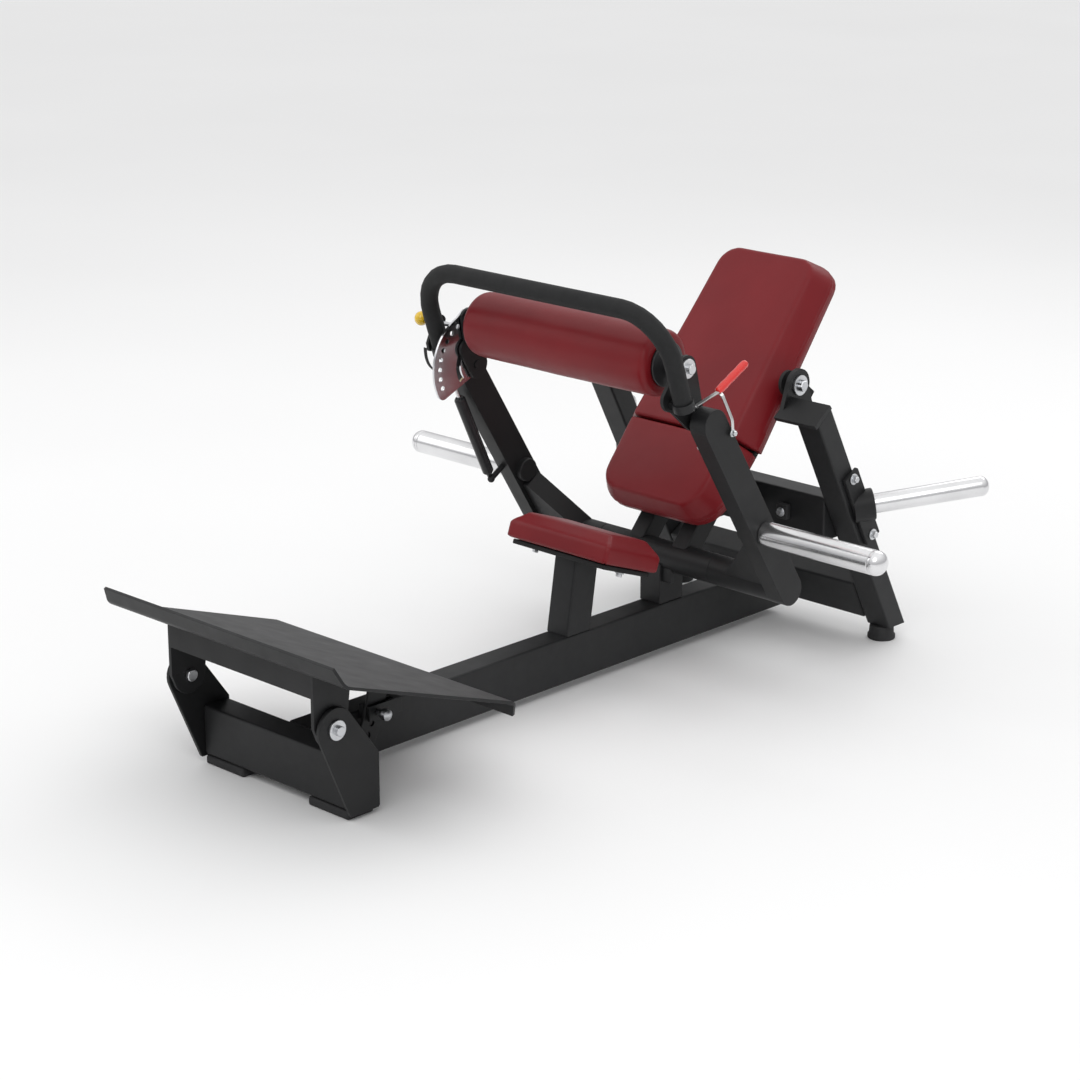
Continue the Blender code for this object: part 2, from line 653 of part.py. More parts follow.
def build_lever():
    horn_place = arm_point(HORN_ALONG_ARM)
    shaft_end = ARM_X - ARM_WIDTH / 2 - GAP
    shaft = rod("pivot_shaft", 0.0200, spot(-shaft_end, HUB), spot(shaft_end, HUB), 32)
    attach(shaft, ZINC, LEVER_JOINT)
    for side, sign in mirrored_pairs():
        inner = sign * (ARM_X - ARM_WIDTH / 2)
        outer = sign * (ARM_X + ARM_WIDTH / 2)
        arm = side_plate("lever_arm_" + side, arm_outline(), *sorted((inner, outer)),
                         edge=TUBE_CORNER)
        attach(arm, BLACK_PAINT, LEVER_JOINT)

        sleeve_ends = (sign * (HOUSING_HALF + 0.001), inner - sign * GAP)
        sleeve = rod("hub_sleeve_" + side, HUB_RADIUS, spot(sleeve_ends[0], HUB),
                     spot(sleeve_ends[1], HUB), 32)
        curve_place = Matrix.Translation(spot(0, HUB))
        turn = Matrix.Rotation(ARM_LEAN - math.pi / 2, 4, "X")
        stand = Matrix(((1, 0, 0, 0), (0, 0, -1, 0), (0, 1, 0, 0), (0, 0, 0, 1)))
        wedge_outline = [(sleeve_ends[1], -0.012), (sleeve_ends[1], 0.140),
                         (sleeve_ends[1] - sign * 0.012, 0.140),
                         (sign * 0.205, 0.026), (sign * 0.205, -0.012)]
        if sign < 0:
            wedge_outline.reverse()
        wedge = flat_plate("hub_gusset_" + side, [wedge_outline], 0.044,
                           curve_place @ turn @ stand, 0.0)
        combine(sleeve, wedge, "UNION")
        shaft_bore = rod("sleeve_bore_" + side, 0.0203, spot(-0.5, HUB), spot(0.5, HUB), 32)
        combine(sleeve, shaft_bore, "DIFFERENCE")
        attach(sleeve, BLACK_PAINT, LEVER_JOINT)

        horn_start = outer + sign * GAP
        cap_length = 0.028
        tube = rod("weight_horn_" + side, HORN_RADIUS, spot(horn_start, horn_place),
                   spot(sign * (HORN_TIP_X - cap_length), horn_place), 28)
        attach(tube, CHROME, LEVER_JOINT)
        profile = [(0, cap_length)]
        for step in range(1, 8):
            angle = math.radians(90 - 90 * step / 7)
            profile.append((HORN_RADIUS * math.cos(angle),
                            cap_length - 0.021 * (1 - math.sin(angle))))
        profile += [(HORN_RADIUS, GAP), (0, GAP)]
        cap = turned("horn_cap_" + side, profile,
                     spot(sign * (HORN_TIP_X - cap_length), horn_place), (sign, 0, 0), 28)
        attach(cap, ZINC, LEVER_JOINT)

        boss = turned("horn_boss_" + side,
                      [(0, 0.014), (0.0235, 0.014), (0.0255, 0.012), (0.0255, -0.010),
                       (0, -0.010)], spot(inner, horn_place), (-sign, 0, 0), 28)
        combine(arm, boss, "UNION")
        spigot = rod("carriage_spigot_" + side, SPIGOT_RADIUS,
                     spot(sign * (SECTOR_X[0] - 0.012), CARRIAGE_PIVOT),
                     spot(inner + sign * 0.010, CARRIAGE_PIVOT), 20)
        combine(arm, spigot, "UNION")
        if side == "left":
            stud = rod("strut_stud", 0.0060, spot(STRUT_X, STRUT_LOW),
                       spot(STRUT_X, polar(STRUT_LOW, 0.050, ARM_LEAN - math.pi / 2)), 16)
            combine(arm, stud, "UNION")
            combine(arm, ball_at("strut_ball_low", STRUT_LOW), "UNION")


# ---------------------------------------------------------------- roller carriage
def ball_at(name, point):
    shape = bmesh.new()
    bmesh.ops.create_uvsphere(shape, u_segments=16, v_segments=10, radius=0.0080)
    ball = mesh_object(name, shape)
    ball.location = spot(STRUT_X, point)
    return ball


def handlebar_rise():
    """Direction of the bar's legs in the side view, from foot to top."""
    return Vector((BAR_TOP[0] - BAR_FOOT[0], BAR_TOP[1] - BAR_FOOT[1])).normalized()


def handlebar_points():
    """Middle line of the bent bar: leg, bend, straight grip, bend, leg."""
    bend = 0.105
    rise = handlebar_rise()
    length = (Vector(BAR_TOP) - Vector(BAR_FOOT)).length
    flat = [(-BAR_LEG_X, 0.0)]
    for step in range(9):
        angle = math.radians(180 - 90 * step / 8)
        flat.append((-BAR_LEG_X + bend + bend * math.cos(angle),
                     length - bend + bend * math.sin(angle)))
    right = [(-x, up) for x, up in reversed(flat)]
    points = []
    for x, up in flat + right:
        points.append(spot(x, (BAR_FOOT[0] + rise.x * up, BAR_FOOT[1] + rise.y * up)))
    return points


def add_bar_socket(plate, side, sign, plate_face):
    """Socket for the bar's leg and the tab that carries it, joined to a side plate."""
    rise = Vector((0, *handlebar_rise()))
    foot = spot(sign * BAR_LEG_X, BAR_FOOT)
    socket = rod("bar_socket_" + side, 0.0215, foot - rise * 0.018, foot - rise * GAP, 24)
    tab_middle = foot - rise * 0.009
    tab_middle.x = sign * (BAR_LEG_X + plate_face - 0.004) / 2
    lean = math.atan2(-rise.y, rise.z)
    tab = box("bar_tab_" + side, (BAR_LEG_X - plate_face + 0.004, 0.024, 0.016),
              tab_middle, tilt=lean, edge=0.0)
    combine(plate, socket, "UNION")
    combine(plate, tab, "UNION")


def build_carriage():
    bar = bent_tube("handlebar", handlebar_points(), BAR_RADIUS, 4)
    attach(bar, FOAM, CARRIAGE_JOINT)
    bolt_hole = circle(CARRIAGE_PIVOT, SPIGOT_RADIUS + GAP, 20)
    axle_hole = circle(ROLLER_AXIS, AXLE_RADIUS + GAP, 20)
    outline = arc(CARRIAGE_PIVOT, 0.030, -110, 20, 8)
    outline += arc(ROLLER_AXIS, 0.026, 10, 150, 8)
    right_outline = outline + arc(BAR_FOOT, 0.026, 160, 270, 8)
    right = side_plate("carriage_plate_right", right_outline, CARRIAGE_X - PLATE,
                       CARRIAGE_X, holes=[bolt_hole, axle_hole], edge=0.0)
    add_bar_socket(right, "right", 1, CARRIAGE_X)
    attach(right, BLACK_PAINT, CARRIAGE_JOINT)

    tie_place = polar(CARRIAGE_PIVOT, SLOT_RADIUS, math.radians(TIE_ANGLE))
    left_outline = outline + arc(tie_place, 0.020, 110, 215, 8)
    inner_face = SECTOR_X[0] - 0.0025
    left = side_plate("carriage_plate_left", left_outline, -inner_face,
                      -inner_face + 0.007, holes=[bolt_hole, axle_hole], edge=0.0)
    tie = rod("carriage_tie", TIE_RADIUS, spot(-inner_face + 0.004, tie_place),
              spot(-SECTOR_X[1] - 0.0015, tie_place), 16)
    combine(left, tie, "UNION")
    attach(left, BLACK_PAINT, CARRIAGE_JOINT)

    bracket_face = SECTOR_X[1] + 0.0020
    bracket_back = bracket_face + 0.0050
    bracket_outline = arc(CARRIAGE_PIVOT, 0.024, -80, 60, 8)
    bracket_outline += arc(tie_place, 0.016, 30, 110, 6)
    bracket_outline += arc(BAR_FOOT, 0.024, 100, 190, 8)
    bracket_outline += arc(STRUT_HIGH, 0.014, 190, 280, 6)
    bracket = side_plate("handle_bracket_left", bracket_outline, -bracket_back,
                         -bracket_face, holes=[bolt_hole], edge=0.0)
    add_bar_socket(bracket, "left", -1, bracket_back)
    top_stud = rod("strut_top_stud", 0.0050, spot(STRUT_X, STRUT_HIGH),
                   spot(-bracket_face - 0.004, STRUT_HIGH), 16)
    combine(bracket, top_stud, "UNION")
    combine(bracket, ball_at("strut_ball_high", STRUT_HIGH), "UNION")
    attach(bracket, BLACK_PAINT, CARRIAGE_JOINT)

    head = [(0, 0.0140), (0.0090, 0.0140), (0.0100, 0.0130), (0.0100, 0.0045),
            (0.0185, 0.0045), (0.0195, 0.0035), (0.0195, 0), (AXLE_RADIUS, 0),
            (AXLE_RADIUS, -CARRIAGE_X - inner_face - GAP), (0, -CARRIAGE_X - inner_face - GAP)]
    axle = turned("roller_axle", head, spot(CARRIAGE_X + GAP, ROLLER_AXIS), (1, 0, 0), 28)
    attach(axle, ZINC, CARRIAGE_JOINT)


def build_index_sector():
    """Arc plate on the left arm: index holes, and a slot for the carriage's tie bolt."""
    outline = [polar(CARRIAGE_PIVOT, 0.123, math.radians(103))]
    outline += arc(CARRIAGE_PIVOT, 0.115, 114, 207, 18)
    outline += arc(polar(CARRIAGE_PIVOT, 0.100, math.radians(208)), 0.015, 214, 292, 5)
    outline += arc(CARRIAGE_PIVOT, 0.026, 262, 425, 14)
    holes = [circle(CARRIAGE_PIVOT, SPIGOT_RADIUS + GAP, 20)]
    for index in range(HOLE_COUNT):
        angle = math.radians(HOLE_START + HOLE_STEP * index)
        holes.append(circle(polar(CARRIAGE_PIVOT, HOLE_RADIUS, angle), 0.0052, 14))
    slot_half = TIE_RADIUS + 0.0010
    first = TIE_ANGLE - 9
    last = TIE_ANGLE + HOLE_STEP * (HOLE_COUNT - 1) + 9
    slot = arc(CARRIAGE_PIVOT, SLOT_RADIUS + slot_half, first, last, 10)
    slot += arc(CARRIAGE_PIVOT, SLOT_RADIUS - slot_half, last, first, 10)
    holes.append(slot)
    sector = side_plate("index_sector", outline, -SECTOR_X[1], -SECTOR_X[0],
                        holes=holes, edge=0.0)
    attach(sector, ZINC, LEVER_JOINT)


def build_pull_pin():
    centre = polar(CARRIAGE_PIVOT, HOLE_RADIUS, math.radians(HOLE_START))
    inner_face = BAR_LEG_X + 0.0190
    outer_face = inner_face + 0.007
    outline = arc(centre, 0.017, 20, 150, 8)
    outline += [(0.8680, 0.6730), (0.8720, 0.6560), (0.8980, 0.6520), (0.9060, 0.6700)]
    hole = circle(centre, 0.0052, 18)
    plate = side_plate("pin_bracket", outline, -outer_face, -inner_face, holes=[hole],
                       edge=0.0)
    rise = Vector((0, *handlebar_rise()))
    socket_middle = spot(-BAR_LEG_X, BAR_FOOT) - rise * 0.009
    clear = rod("socket_clearance", 0.0218, socket_middle - rise * 0.012,
                socket_middle + rise * 0.2, 24)
    combine(plate, clear, "DIFFERENCE")
    sleeve = turned("pin_housing", [(0, 0.030), (0.0080, 0.030), (0.0115, 0.022),
                                    (0.0120, -0.004), (0, -0.004)],
                    spot(-outer_face, centre), (-1, 0, 0), 24)
    bore = rod("pin_housing_bore", 0.0052, spot(-0.5, centre), spot(-0.3, centre), 18)
    combine(plate, sleeve, "UNION")
    combine(plate, bore, "DIFFERENCE")
    attach(plate, BLACK_PLASTIC, CARRIAGE_JOINT)
    knob_start = outer_face + 0.038
    knob = [(0, 0.0235), (0.0080, 0.0225), (0.0135, 0.0185), (0.0155, 0.0120),
            (0.0140, 0.0060), (0.0095, 0.0020), (0.0070, 0), (0, 0)]
    attach(turned("pull_pin_knob", knob, spot(-knob_start, centre), (-1, 0, 0), 28),
           YELLOW_PLASTIC, CARRIAGE_JOINT)
    pin = rod("pull_pin", 0.0048, spot(-knob_start + GAP, centre),
              spot(-SECTOR_X[1] - 0.0006, centre), 18)
    attach(pin, ZINC, CARRIAGE_JOINT)


def build_roller():
    core_radius = 0.0207
    profile = [(core_radius + GAP, ROLLER_HALF), (0.0580, ROLLER_HALF)]
    corner = 0.010
    for step in range(1, 5):
        angle = math.radians(90 - 90 * step / 4)
        profile.append((ROLLER_RADIUS - corner + corner * math.cos(angle),
                        ROLLER_HALF - corner + corner * math.sin(angle)))
    lower = [(radius, -height) for radius, height in reversed(profile)]
    pad = turned("roller_pad", profile + lower + [profile[0]], spot(0, ROLLER_AXIS),
                 (1, 0, 0), 32)
    attach(pad, RED_VINYL, ROLLER_JOINT)
    bore = AXLE_RADIUS + GAP
    face = ROLLER_HALF + GAP
    half = [(bore, face + 0.012), (0.0200, face + 0.012), (0.0220, face + 0.009),
            (0.0430, face + 0.006), (0.0450, face + 0.004), (0.0450, face),
            (core_radius, face)]
    lower = [(radius, -height) for radius, height in reversed(half)]
    core = turned("roller_core", half + lower + [half[0]], spot(0, ROLLER_AXIS),
                  (1, 0, 0), 24)
    attach(core, BLACK_PLASTIC, ROLLER_JOINT)


# ---------------------------------------------------------------- gas strut
def build_gas_strut():
    low = spot(STRUT_X, STRUT_LOW)
    high = spot(STRUT_X, STRUT_HIGH)
    direction = (high - low).normalized()
    pivot = joint_empty("gas_strut_pivot", STRUT_LOW)
    body = turned("gas_strut_cylinder",
                  [(0, 0.217), (0.0095, 0.217), (0.0122, 0.213), (0.0122, 0.022),
                   (0.0095, 0.018), (0.0060, 0.016), (0.0060, 0.0095), (0, 0.0095)],
                  low, direction, 24)
    bore = rod("cylinder_bore", 0.0045, low + direction * 0.090, low + direction * 0.3, 18)
    combine(body, bore, "DIFFERENCE")
    attach(body, BLACK_PAINT, pivot)
    stem = rod("gas_strut_rod", 0.0040, low + direction * 0.185,
               high - direction * 0.0095, 18)
    attach(stem, CHROME, pivot)


# ---------------------------------------------------------------- release latch
def build_latch():
    """Bail over the top of the right arm, with a grip at its crown."""
    pivot = joint_empty("latch_pivot", LATCH_PIVOT)
    crown = (0.9880, 0.6800)
    inner = (ARM_X - ARM_WIDTH / 2 - 0.0082, ARM_X - ARM_WIDTH / 2 - 0.0027)
    outer = (ARM_X + ARM_WIDTH / 2 + 0.0027, ARM_X + ARM_WIDTH / 2 + 0.0082)
    shoulder = [(0.9810, 0.6860), (0.9950, 0.6860), (1.0165, 0.6020)]
    hook = [(1.0160, 0.5850), (1.0040, 0.5400), (0.9900, 0.5170), (0.9760, 0.5230),
            (0.9880, 0.5460), (0.9930, 0.5720), (0.9860, 0.6000), (0.9750, 0.6680)]
    toe = [(1.0140, 0.5820), (1.0020, 0.5760), (0.9900, 0.5820), (0.9860, 0.6000),
           (0.9750, 0.6680)]
    yoke = side_plate("latch_yoke", shoulder + hook, *inner, edge=0.0)
    other = side_plate("latch_outer_prong", shoulder + toe, *outer, edge=0.0)
    bridge = box("latch_bridge", (outer[1] - inner[0] - 0.001, 0.010, 0.008),
                 spot((inner[0] + outer[1]) / 2, crown), edge=0.0)
    combine(yoke, other, "UNION")
    combine(yoke, bridge, "UNION")
    for name, start, end, radius in (
            ("inner_stub", inner[1] - 0.003, ARM_X - ARM_WIDTH / 2 - GAP, 0.0070),
            ("outer_stub", ARM_X + ARM_WIDTH / 2 + GAP, outer[1] - 0.003, 0.0070),
            ("bolt_head", outer[1] - 0.003, outer[1] + 0.006, 0.0090)):
        stub = rod("latch_" + name, radius, spot(start, LATCH_PIVOT),
                   spot(end, LATCH_PIVOT), 20)
        combine(yoke, stub, "UNION")
    attach(yoke, ZINC, pivot)
    slope = Vector((0, 0.070, 0.036)).normalized()
    profile = [(0, 0.086), (0.0045, 0.085), (0.0075, 0.081), (0.0085, 0.075),
               (0.0085, 0.012), (0.0070, 0.008), (0, 0.008)]
    grip = turned("latch_grip", profile, spot(ARM_X, crown), slope, 20)
    attach(grip, RED_PLASTIC, pivot)


# ---------------------------------------------------------------- back pads
def back_point(up, behind):
    """Point of the back rest: up along the pads, behind their face plane origin."""
    cos, sin = math.cos(BACK_ANGLE), math.sin(BACK_ANGLE)
    return (up * cos + behind * sin, up * sin - behind * cos)


BACK_PLACE = Matrix(((1, 0, 0, 0), (0, math.cos(BACK_ANGLE), -math.sin(BACK_ANGLE), 0),
                     (0, math.sin(BACK_ANGLE), math.cos(BACK_ANGLE), 0), (0, 0, 0, 1)))
BOARD_FRONT = 0.694           # board's front plane, behind the side view's origin


def pad_solid(name, outline, face):
    """Pad between its back outline and a smaller face, both (x, distance up)."""
    shape = bmesh.new()
    rings = []
    for ring_outline, rise in ((outline, 0.0), (outline, 0.010), (face, BACK_FACE)):
        ring = []
        for x, up in ring_outline:
            ring.append(shape.verts.new(spot(x, back_point(up, BOARD_FRONT - GAP - rise))))
        rings.append(ring)
    count = len(outline)
    for lower, upper in zip(rings, rings[1:]):
        for index in range(count):
            following = (index + 1) % count
            shape.faces.new((lower[index], lower[following], upper[following], upper[index]))
    shape.faces.new(rings[-1])
    shape.faces.new(list(reversed(rings[0])))
    bmesh.ops.recalc_face_normals(shape, faces=shape.faces)
    return soften(mesh_object(name, shape), 0.006, 2, 25)


def upper_pad_outline(waist_half, top_half, top, corner):
    right = arc((top_half - corner, top - corner), corner, 3, 90, 6)
    outline = [(-waist_half, BACK_WAIST + 0.001), (waist_half, BACK_WAIST + 0.001)]
    return outline + right + [(-x, up) for x, up in reversed(right)]


def lower_pad_outline(waist_half, bottom, corner):
    side = waist_half - corner - 0.004
    outline = [(waist_half, BACK_WAIST - 0.001), (-waist_half, BACK_WAIST - 0.001)]
    outline += arc((-side, bottom + corner), corner, 180, 270, 6)
    return outline + arc((side, bottom + corner), corner, 270, 360, 6)


def build_back_rest():
    upper = pad_solid("upper_back_pad",
                      upper_pad_outline(BACK_WAIST_HALF, BACK_TOP_HALF, BACK_TOP, 0.055),
                      upper_pad_outline(FACE_WAIST_HALF, FACE_TOP_HALF, BACK_TOP - 0.012, 0.045))
    attach(upper, RED_VINYL)
    lower = pad_solid("lower_back_pad",
                      lower_pad_outline(BACK_WAIST_HALF - 0.008, BACK_BOTTOM, 0.075),
                      lower_pad_outline(FACE_WAIST_HALF, BACK_BOTTOM + 0.014, 0.050))
    attach(lower, RED_VINYL)

    margin = 0.014
    outline = upper_pad_outline(BACK_WAIST_HALF - margin, BACK_TOP_HALF - margin,
                                BACK_TOP - margin, 0.045)[1:]
    outline += lower_pad_outline(BACK_WAIST_HALF - margin, BACK_BOTTOM + margin, 0.065)[2:]
    board_middle = -(BOARD_FRONT + BACK_BOARD / 2)
    place = (Matrix.Translation((0, along(0), 0)) @ BACK_PLACE
             @ Matrix.Translation((0, 0, board_middle)))
    frame = flat_plate("back_frame", [outline], BACK_BOARD, place, 0.0)

    bar_depth = RAIL_PLANE - BOARD_FRONT - BACK_BOARD
    bar_behind = BOARD_FRONT + BACK_BOARD + bar_depth / 2 - 0.001
    ear = (0.1890, 0.1970)
    for up, half in ((BACK_PIVOT_UP, ear[1] - 0.001), (1.1000, 0.110)):
        bar = box("back_bar", (2 * half, 0.040, bar_depth),
                  spot(0, back_point(up, bar_behind)), tilt=BACK_ANGLE, edge=0.0)
        combine(frame, bar, "UNION")
    for side, sign in mirrored_pairs():
        turn = math.degrees(BACK_ANGLE)
        outline = arc(BACK_PIVOT, 0.026, turn, turn + 180, 12)
        outline += [back_point(BACK_PIVOT_UP - 0.030, bar_behind + bar_depth / 2),
                    back_point(BACK_PIVOT_UP + 0.030, bar_behind + bar_depth / 2)]
        plate = side_plate("back_ear_" + side, outline,
                           *sorted((sign * ear[0], sign * ear[1])), edge=0.0)
        combine(frame, plate, "UNION")
        head = [(0, 0.0430), (0.0095, 0.0430), (0.0110, 0.0415), (0.0110, 0.0340),
                (0.0200, 0.0340), (0.0205, 0.0330), (0.0205, 0.0295), (0.0080, 0.0295),
                (0.0080, -0.004), (0, -0.004)]
        bolt = turned("back_bolt_" + side, head,
                      spot(sign * (ear[1] - 0.002), BACK_PIVOT), (sign, 0, 0), 24)
        combine(frame, bolt, "UNION")
    attach(frame, BLACK_PAINT)


def build_all():
    rail = build_foot_base()
    build_foot_plate()
    build_foot_lock()
    build_seat()
    build_rear_frame(rail)
    build_hinge_brackets()
    build_storage()
    build_hub_support()
    build_lever()
    build_carriage()
    build_index_sector()
    build_pull_pin()
    build_roller()
    build_gas_strut()
    build_latch()
    build_back_rest()


build_all()
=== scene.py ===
"""Looks of the plate-loaded hip thrust machine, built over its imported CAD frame."""
import json
import math

import bmesh
import bpy
import numpy as np
from mathutils import Matrix, Vector, noise


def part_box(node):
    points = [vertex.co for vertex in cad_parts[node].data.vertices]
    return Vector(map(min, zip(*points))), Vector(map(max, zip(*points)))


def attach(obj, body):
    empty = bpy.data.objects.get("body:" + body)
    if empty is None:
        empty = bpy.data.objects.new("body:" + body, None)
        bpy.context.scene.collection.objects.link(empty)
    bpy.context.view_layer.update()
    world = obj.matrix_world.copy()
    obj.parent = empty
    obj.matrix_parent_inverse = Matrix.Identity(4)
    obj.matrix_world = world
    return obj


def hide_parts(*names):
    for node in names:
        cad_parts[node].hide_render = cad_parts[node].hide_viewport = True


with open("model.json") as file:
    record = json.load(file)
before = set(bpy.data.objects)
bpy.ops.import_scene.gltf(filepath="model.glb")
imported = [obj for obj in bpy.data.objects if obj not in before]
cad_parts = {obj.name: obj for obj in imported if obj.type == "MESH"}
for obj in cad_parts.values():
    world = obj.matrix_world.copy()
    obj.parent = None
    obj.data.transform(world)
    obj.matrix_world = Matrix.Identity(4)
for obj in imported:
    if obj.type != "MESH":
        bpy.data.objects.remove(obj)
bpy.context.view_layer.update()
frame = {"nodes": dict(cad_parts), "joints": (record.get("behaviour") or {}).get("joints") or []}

NODES = frame["nodes"]
JOINTS = {joint["name"]: joint for joint in frame["joints"]}
SCENE = bpy.context.scene


# Driving sizes shared with the CAD, in metres; distances along run from the machine's front.
MACHINE_LENGTH = 1.6581
BACK_ANGLE = math.radians(49.0)
BOARD_FRONT = 0.694           # front of the back board, behind the side view's origin
BACK_SEAM = 1.197             # height up the back rest where its two pads meet
SEAT_TILT = math.radians(-20)
SEAT_EDGE = (0.878, 0.300)    # lower front edge of the seat pad: along, up
SEAT_HALF = 0.140
SEAT_DEPTH = 0.172
SEAT_BEVEL = 0.027            # width of the band that slopes round the seat's top
ARM_MIDDLE = 0.335            # middle of the right lever arm, across
ARM_HALF = 0.020
LEG_FACE = 0.3223             # outer face of a rear leg, across
PRONG_THICK = 0.0034
BACK_PIVOT = Vector(JOINTS["back_rest_tilt"]["pos_m"])
ROLLER = Vector(JOINTS["roller_spin"]["pos_m"])

# Cushions: how they are blown up with cloth and calmed down again.
CLOTH_FRAMES = 20
EASE_ROUNDS = 60
TYPICAL_REACH = 96            # percentile of the cloth's movement that is scaled to the limit
CUSHION_INSET = 0.0012
CUSHION_PRESSURE = 3.0


def along(distance):
    """World y of a distance measured from the machine's front."""
    return distance - MACHINE_LENGTH / 2


def back_spot(x, up, behind):
    """Point of the back rest: across, up along the pads, behind the side view's origin."""
    cos, sin = math.cos(BACK_ANGLE), math.sin(BACK_ANGLE)
    return Vector((x, along(up * cos + behind * sin), up * sin - behind * cos))


# ---------------------------------------------------------------- materials
class Nodes:
    """A material's node tree with short calls for the few nodes used here."""

    def __init__(self, name):
        self.material = bpy.data.materials.new(name)
        self.material.use_nodes = True
        self.tree = self.material.node_tree
        self.shader = self.tree.nodes["Principled BSDF"]
        self.place = self.tree.nodes.new("ShaderNodeTexCoord").outputs["Object"]

    def link(self, source, target):
        self.tree.links.new(source, target)

    def noise(self, scale, detail=3.0, rough=0.55, stretch=None):
        node = self.tree.nodes.new("ShaderNodeTexNoise")
        node.inputs["Scale"].default_value = scale
        node.inputs["Detail"].default_value = detail
        node.inputs["Roughness"].default_value = rough
        place = self.place
        if stretch:
            mapping = self.tree.nodes.new("ShaderNodeMapping")
            mapping.inputs["Scale"].default_value = stretch
            self.link(place, mapping.inputs["Vector"])
            place = mapping.outputs["Vector"]
        self.link(place, node.inputs["Vector"])
        return node.outputs["Fac"]

    def cells(self, scale):
        node = self.tree.nodes.new("ShaderNodeTexVoronoi")
        node.feature = "DISTANCE_TO_EDGE"
        node.inputs["Scale"].default_value = scale
        self.link(self.place, node.inputs["Vector"])
        return node.outputs["Distance"]

    def ramp(self, source, stops):
        node = self.tree.nodes.new("ShaderNodeValToRGB")
        elements = node.color_ramp.elements
        for index, (position, colour) in enumerate(stops):
            element = elements[index] if index < 2 else elements.new(position)
            element.position = position
            element.color = (*colour, 1.0)
        self.link(source, node.inputs["Fac"])
        return node.outputs["Color"]

    def spread(self, source, low, high):
        node = self.tree.nodes.new("ShaderNodeMapRange")
        node.inputs["To Min"].default_value = low
        node.inputs["To Max"].default_value = high
        self.link(source, node.inputs["Value"])
        return node.outputs["Result"]

    def add(self, first, second, weight):
        node = self.tree.nodes.new("ShaderNodeMath")
        node.operation = "MULTIPLY_ADD"
        node.inputs[1].default_value = weight
        self.link(second, node.inputs[0])
        self.link(first, node.inputs[2])
        return node.outputs["Value"]

    def mix(self, factor, first, second):
        node = self.tree.nodes.new("ShaderNodeMix")
        node.data_type = "RGBA"
        self.link(factor, node.inputs["Factor"])
        self.link(first, node.inputs["A"])
        node.inputs["B"].default_value = (*second, 1.0)
        return node.outputs["Result"]

    def edges(self, low, high):
        """0 on flats, 1 on convex edges."""
        node = self.tree.nodes.new("ShaderNodeNewGeometry")
        spread = self.spread(node.outputs["Pointiness"], 0.0, 1.0)
        mapping = spread.node
        mapping.inputs["From Min"].default_value = low
        mapping.inputs["From Max"].default_value = high
        mapping.clamp = True
        return spread

    def bump(self, height, strength, distance):
        node = self.tree.nodes.new("ShaderNodeBump")
        node.inputs["Strength"].default_value = strength
        node.inputs["Distance"].default_value = distance
        self.link(height, node.inputs["Height"])
        self.link(node.outputs["Normal"], self.shader.inputs["Normal"])

    def set(self, **values):
        for name, value in values.items():
            self.shader.inputs[name.replace("_", " ")].default_value = value


def vinyl(name, dark, mid, light):
    """Grained leatherette: broad colour drift, scuffed sheen and a fine crease pattern."""
    make = Nodes(name)
    broad = make.noise(5.0, 4.0)
    colour = make.ramp(broad, [(0.25, dark), (0.75, light), (0.5, mid)])
    creases = make.cells(850.0)
    fine = make.noise(1400.0, 2.0)
    scuff = make.noise(38.0, 5.0, 0.7)
    make.link(colour, make.shader.inputs["Base Color"])
    make.link(make.spread(scuff, 0.33, 0.52), make.shader.inputs["Roughness"])
    make.bump(make.add(creases, fine, 0.12), 0.16, 0.0004)
    make.set(Sheen_Weight=0.02, Sheen_Roughness=0.45, Coat_Weight=0.04, Coat_Roughness=0.25,
             Specular_IOR_Level=0.27)
    return make.material


def coat(name, dark, light, rough=(0.40, 0.56), grain=0.12):
    """Powder coat with orange peel, and a painted highlight that lightens its convex edges in
    noisy patches.
    """
    make = Nodes(name)
    colour = make.ramp(make.noise(7.0, 4.0), [(0.3, dark), (0.7, light)])
    # Painted highlight: convex edges are lightened towards 3.2 times the light tone, in patches
    # set by noise.
    painted_highlight_mask = make.edges(0.52, 0.62)
    highlight_patches = make.noise(60.0, 4.0, 0.7)
    painted_edge_highlight = make.tree.nodes.new("ShaderNodeMath")
    painted_edge_highlight.operation = "MULTIPLY"
    make.link(painted_highlight_mask, painted_edge_highlight.inputs[0])
    make.link(highlight_patches, painted_edge_highlight.inputs[1])
    colour = make.mix(painted_edge_highlight.outputs["Value"], colour, tuple(c * 3.2 for c in light))
    make.link(colour, make.shader.inputs["Base Color"])
    make.link(make.spread(make.noise(22.0, 3.0), *rough), make.shader.inputs["Roughness"])
    peel = make.add(make.noise(1100.0, 2.0), make.noise(320.0, 2.0), 0.5)
    make.bump(peel, grain, 0.0003)
    make.set(Specular_IOR_Level=0.30)
    return make.material


def metal(name, dark, light, rough, stretch=(1.0, 1.0, 1.0), grain=0.10, scale=500.0):
    """Plated or bare metal with brushed lines and smears in its roughness."""
    make = Nodes(name)
    colour = make.ramp(make.noise(9.0, 5.0, 0.6), [(0.3, dark), (0.75, light)])
    lines = make.noise(scale, 3.0, 0.6, stretch)
    smears = make.noise(30.0, 4.0, 0.65)
    make.link(colour, make.shader.inputs["Base Color"])
    make.link(make.spread(make.add(smears, lines, 0.4), *rough),
              make.shader.inputs["Roughness"])
    make.bump(lines, grain, 0.0001)
    make.set(Metallic=1.0)
    return make.material


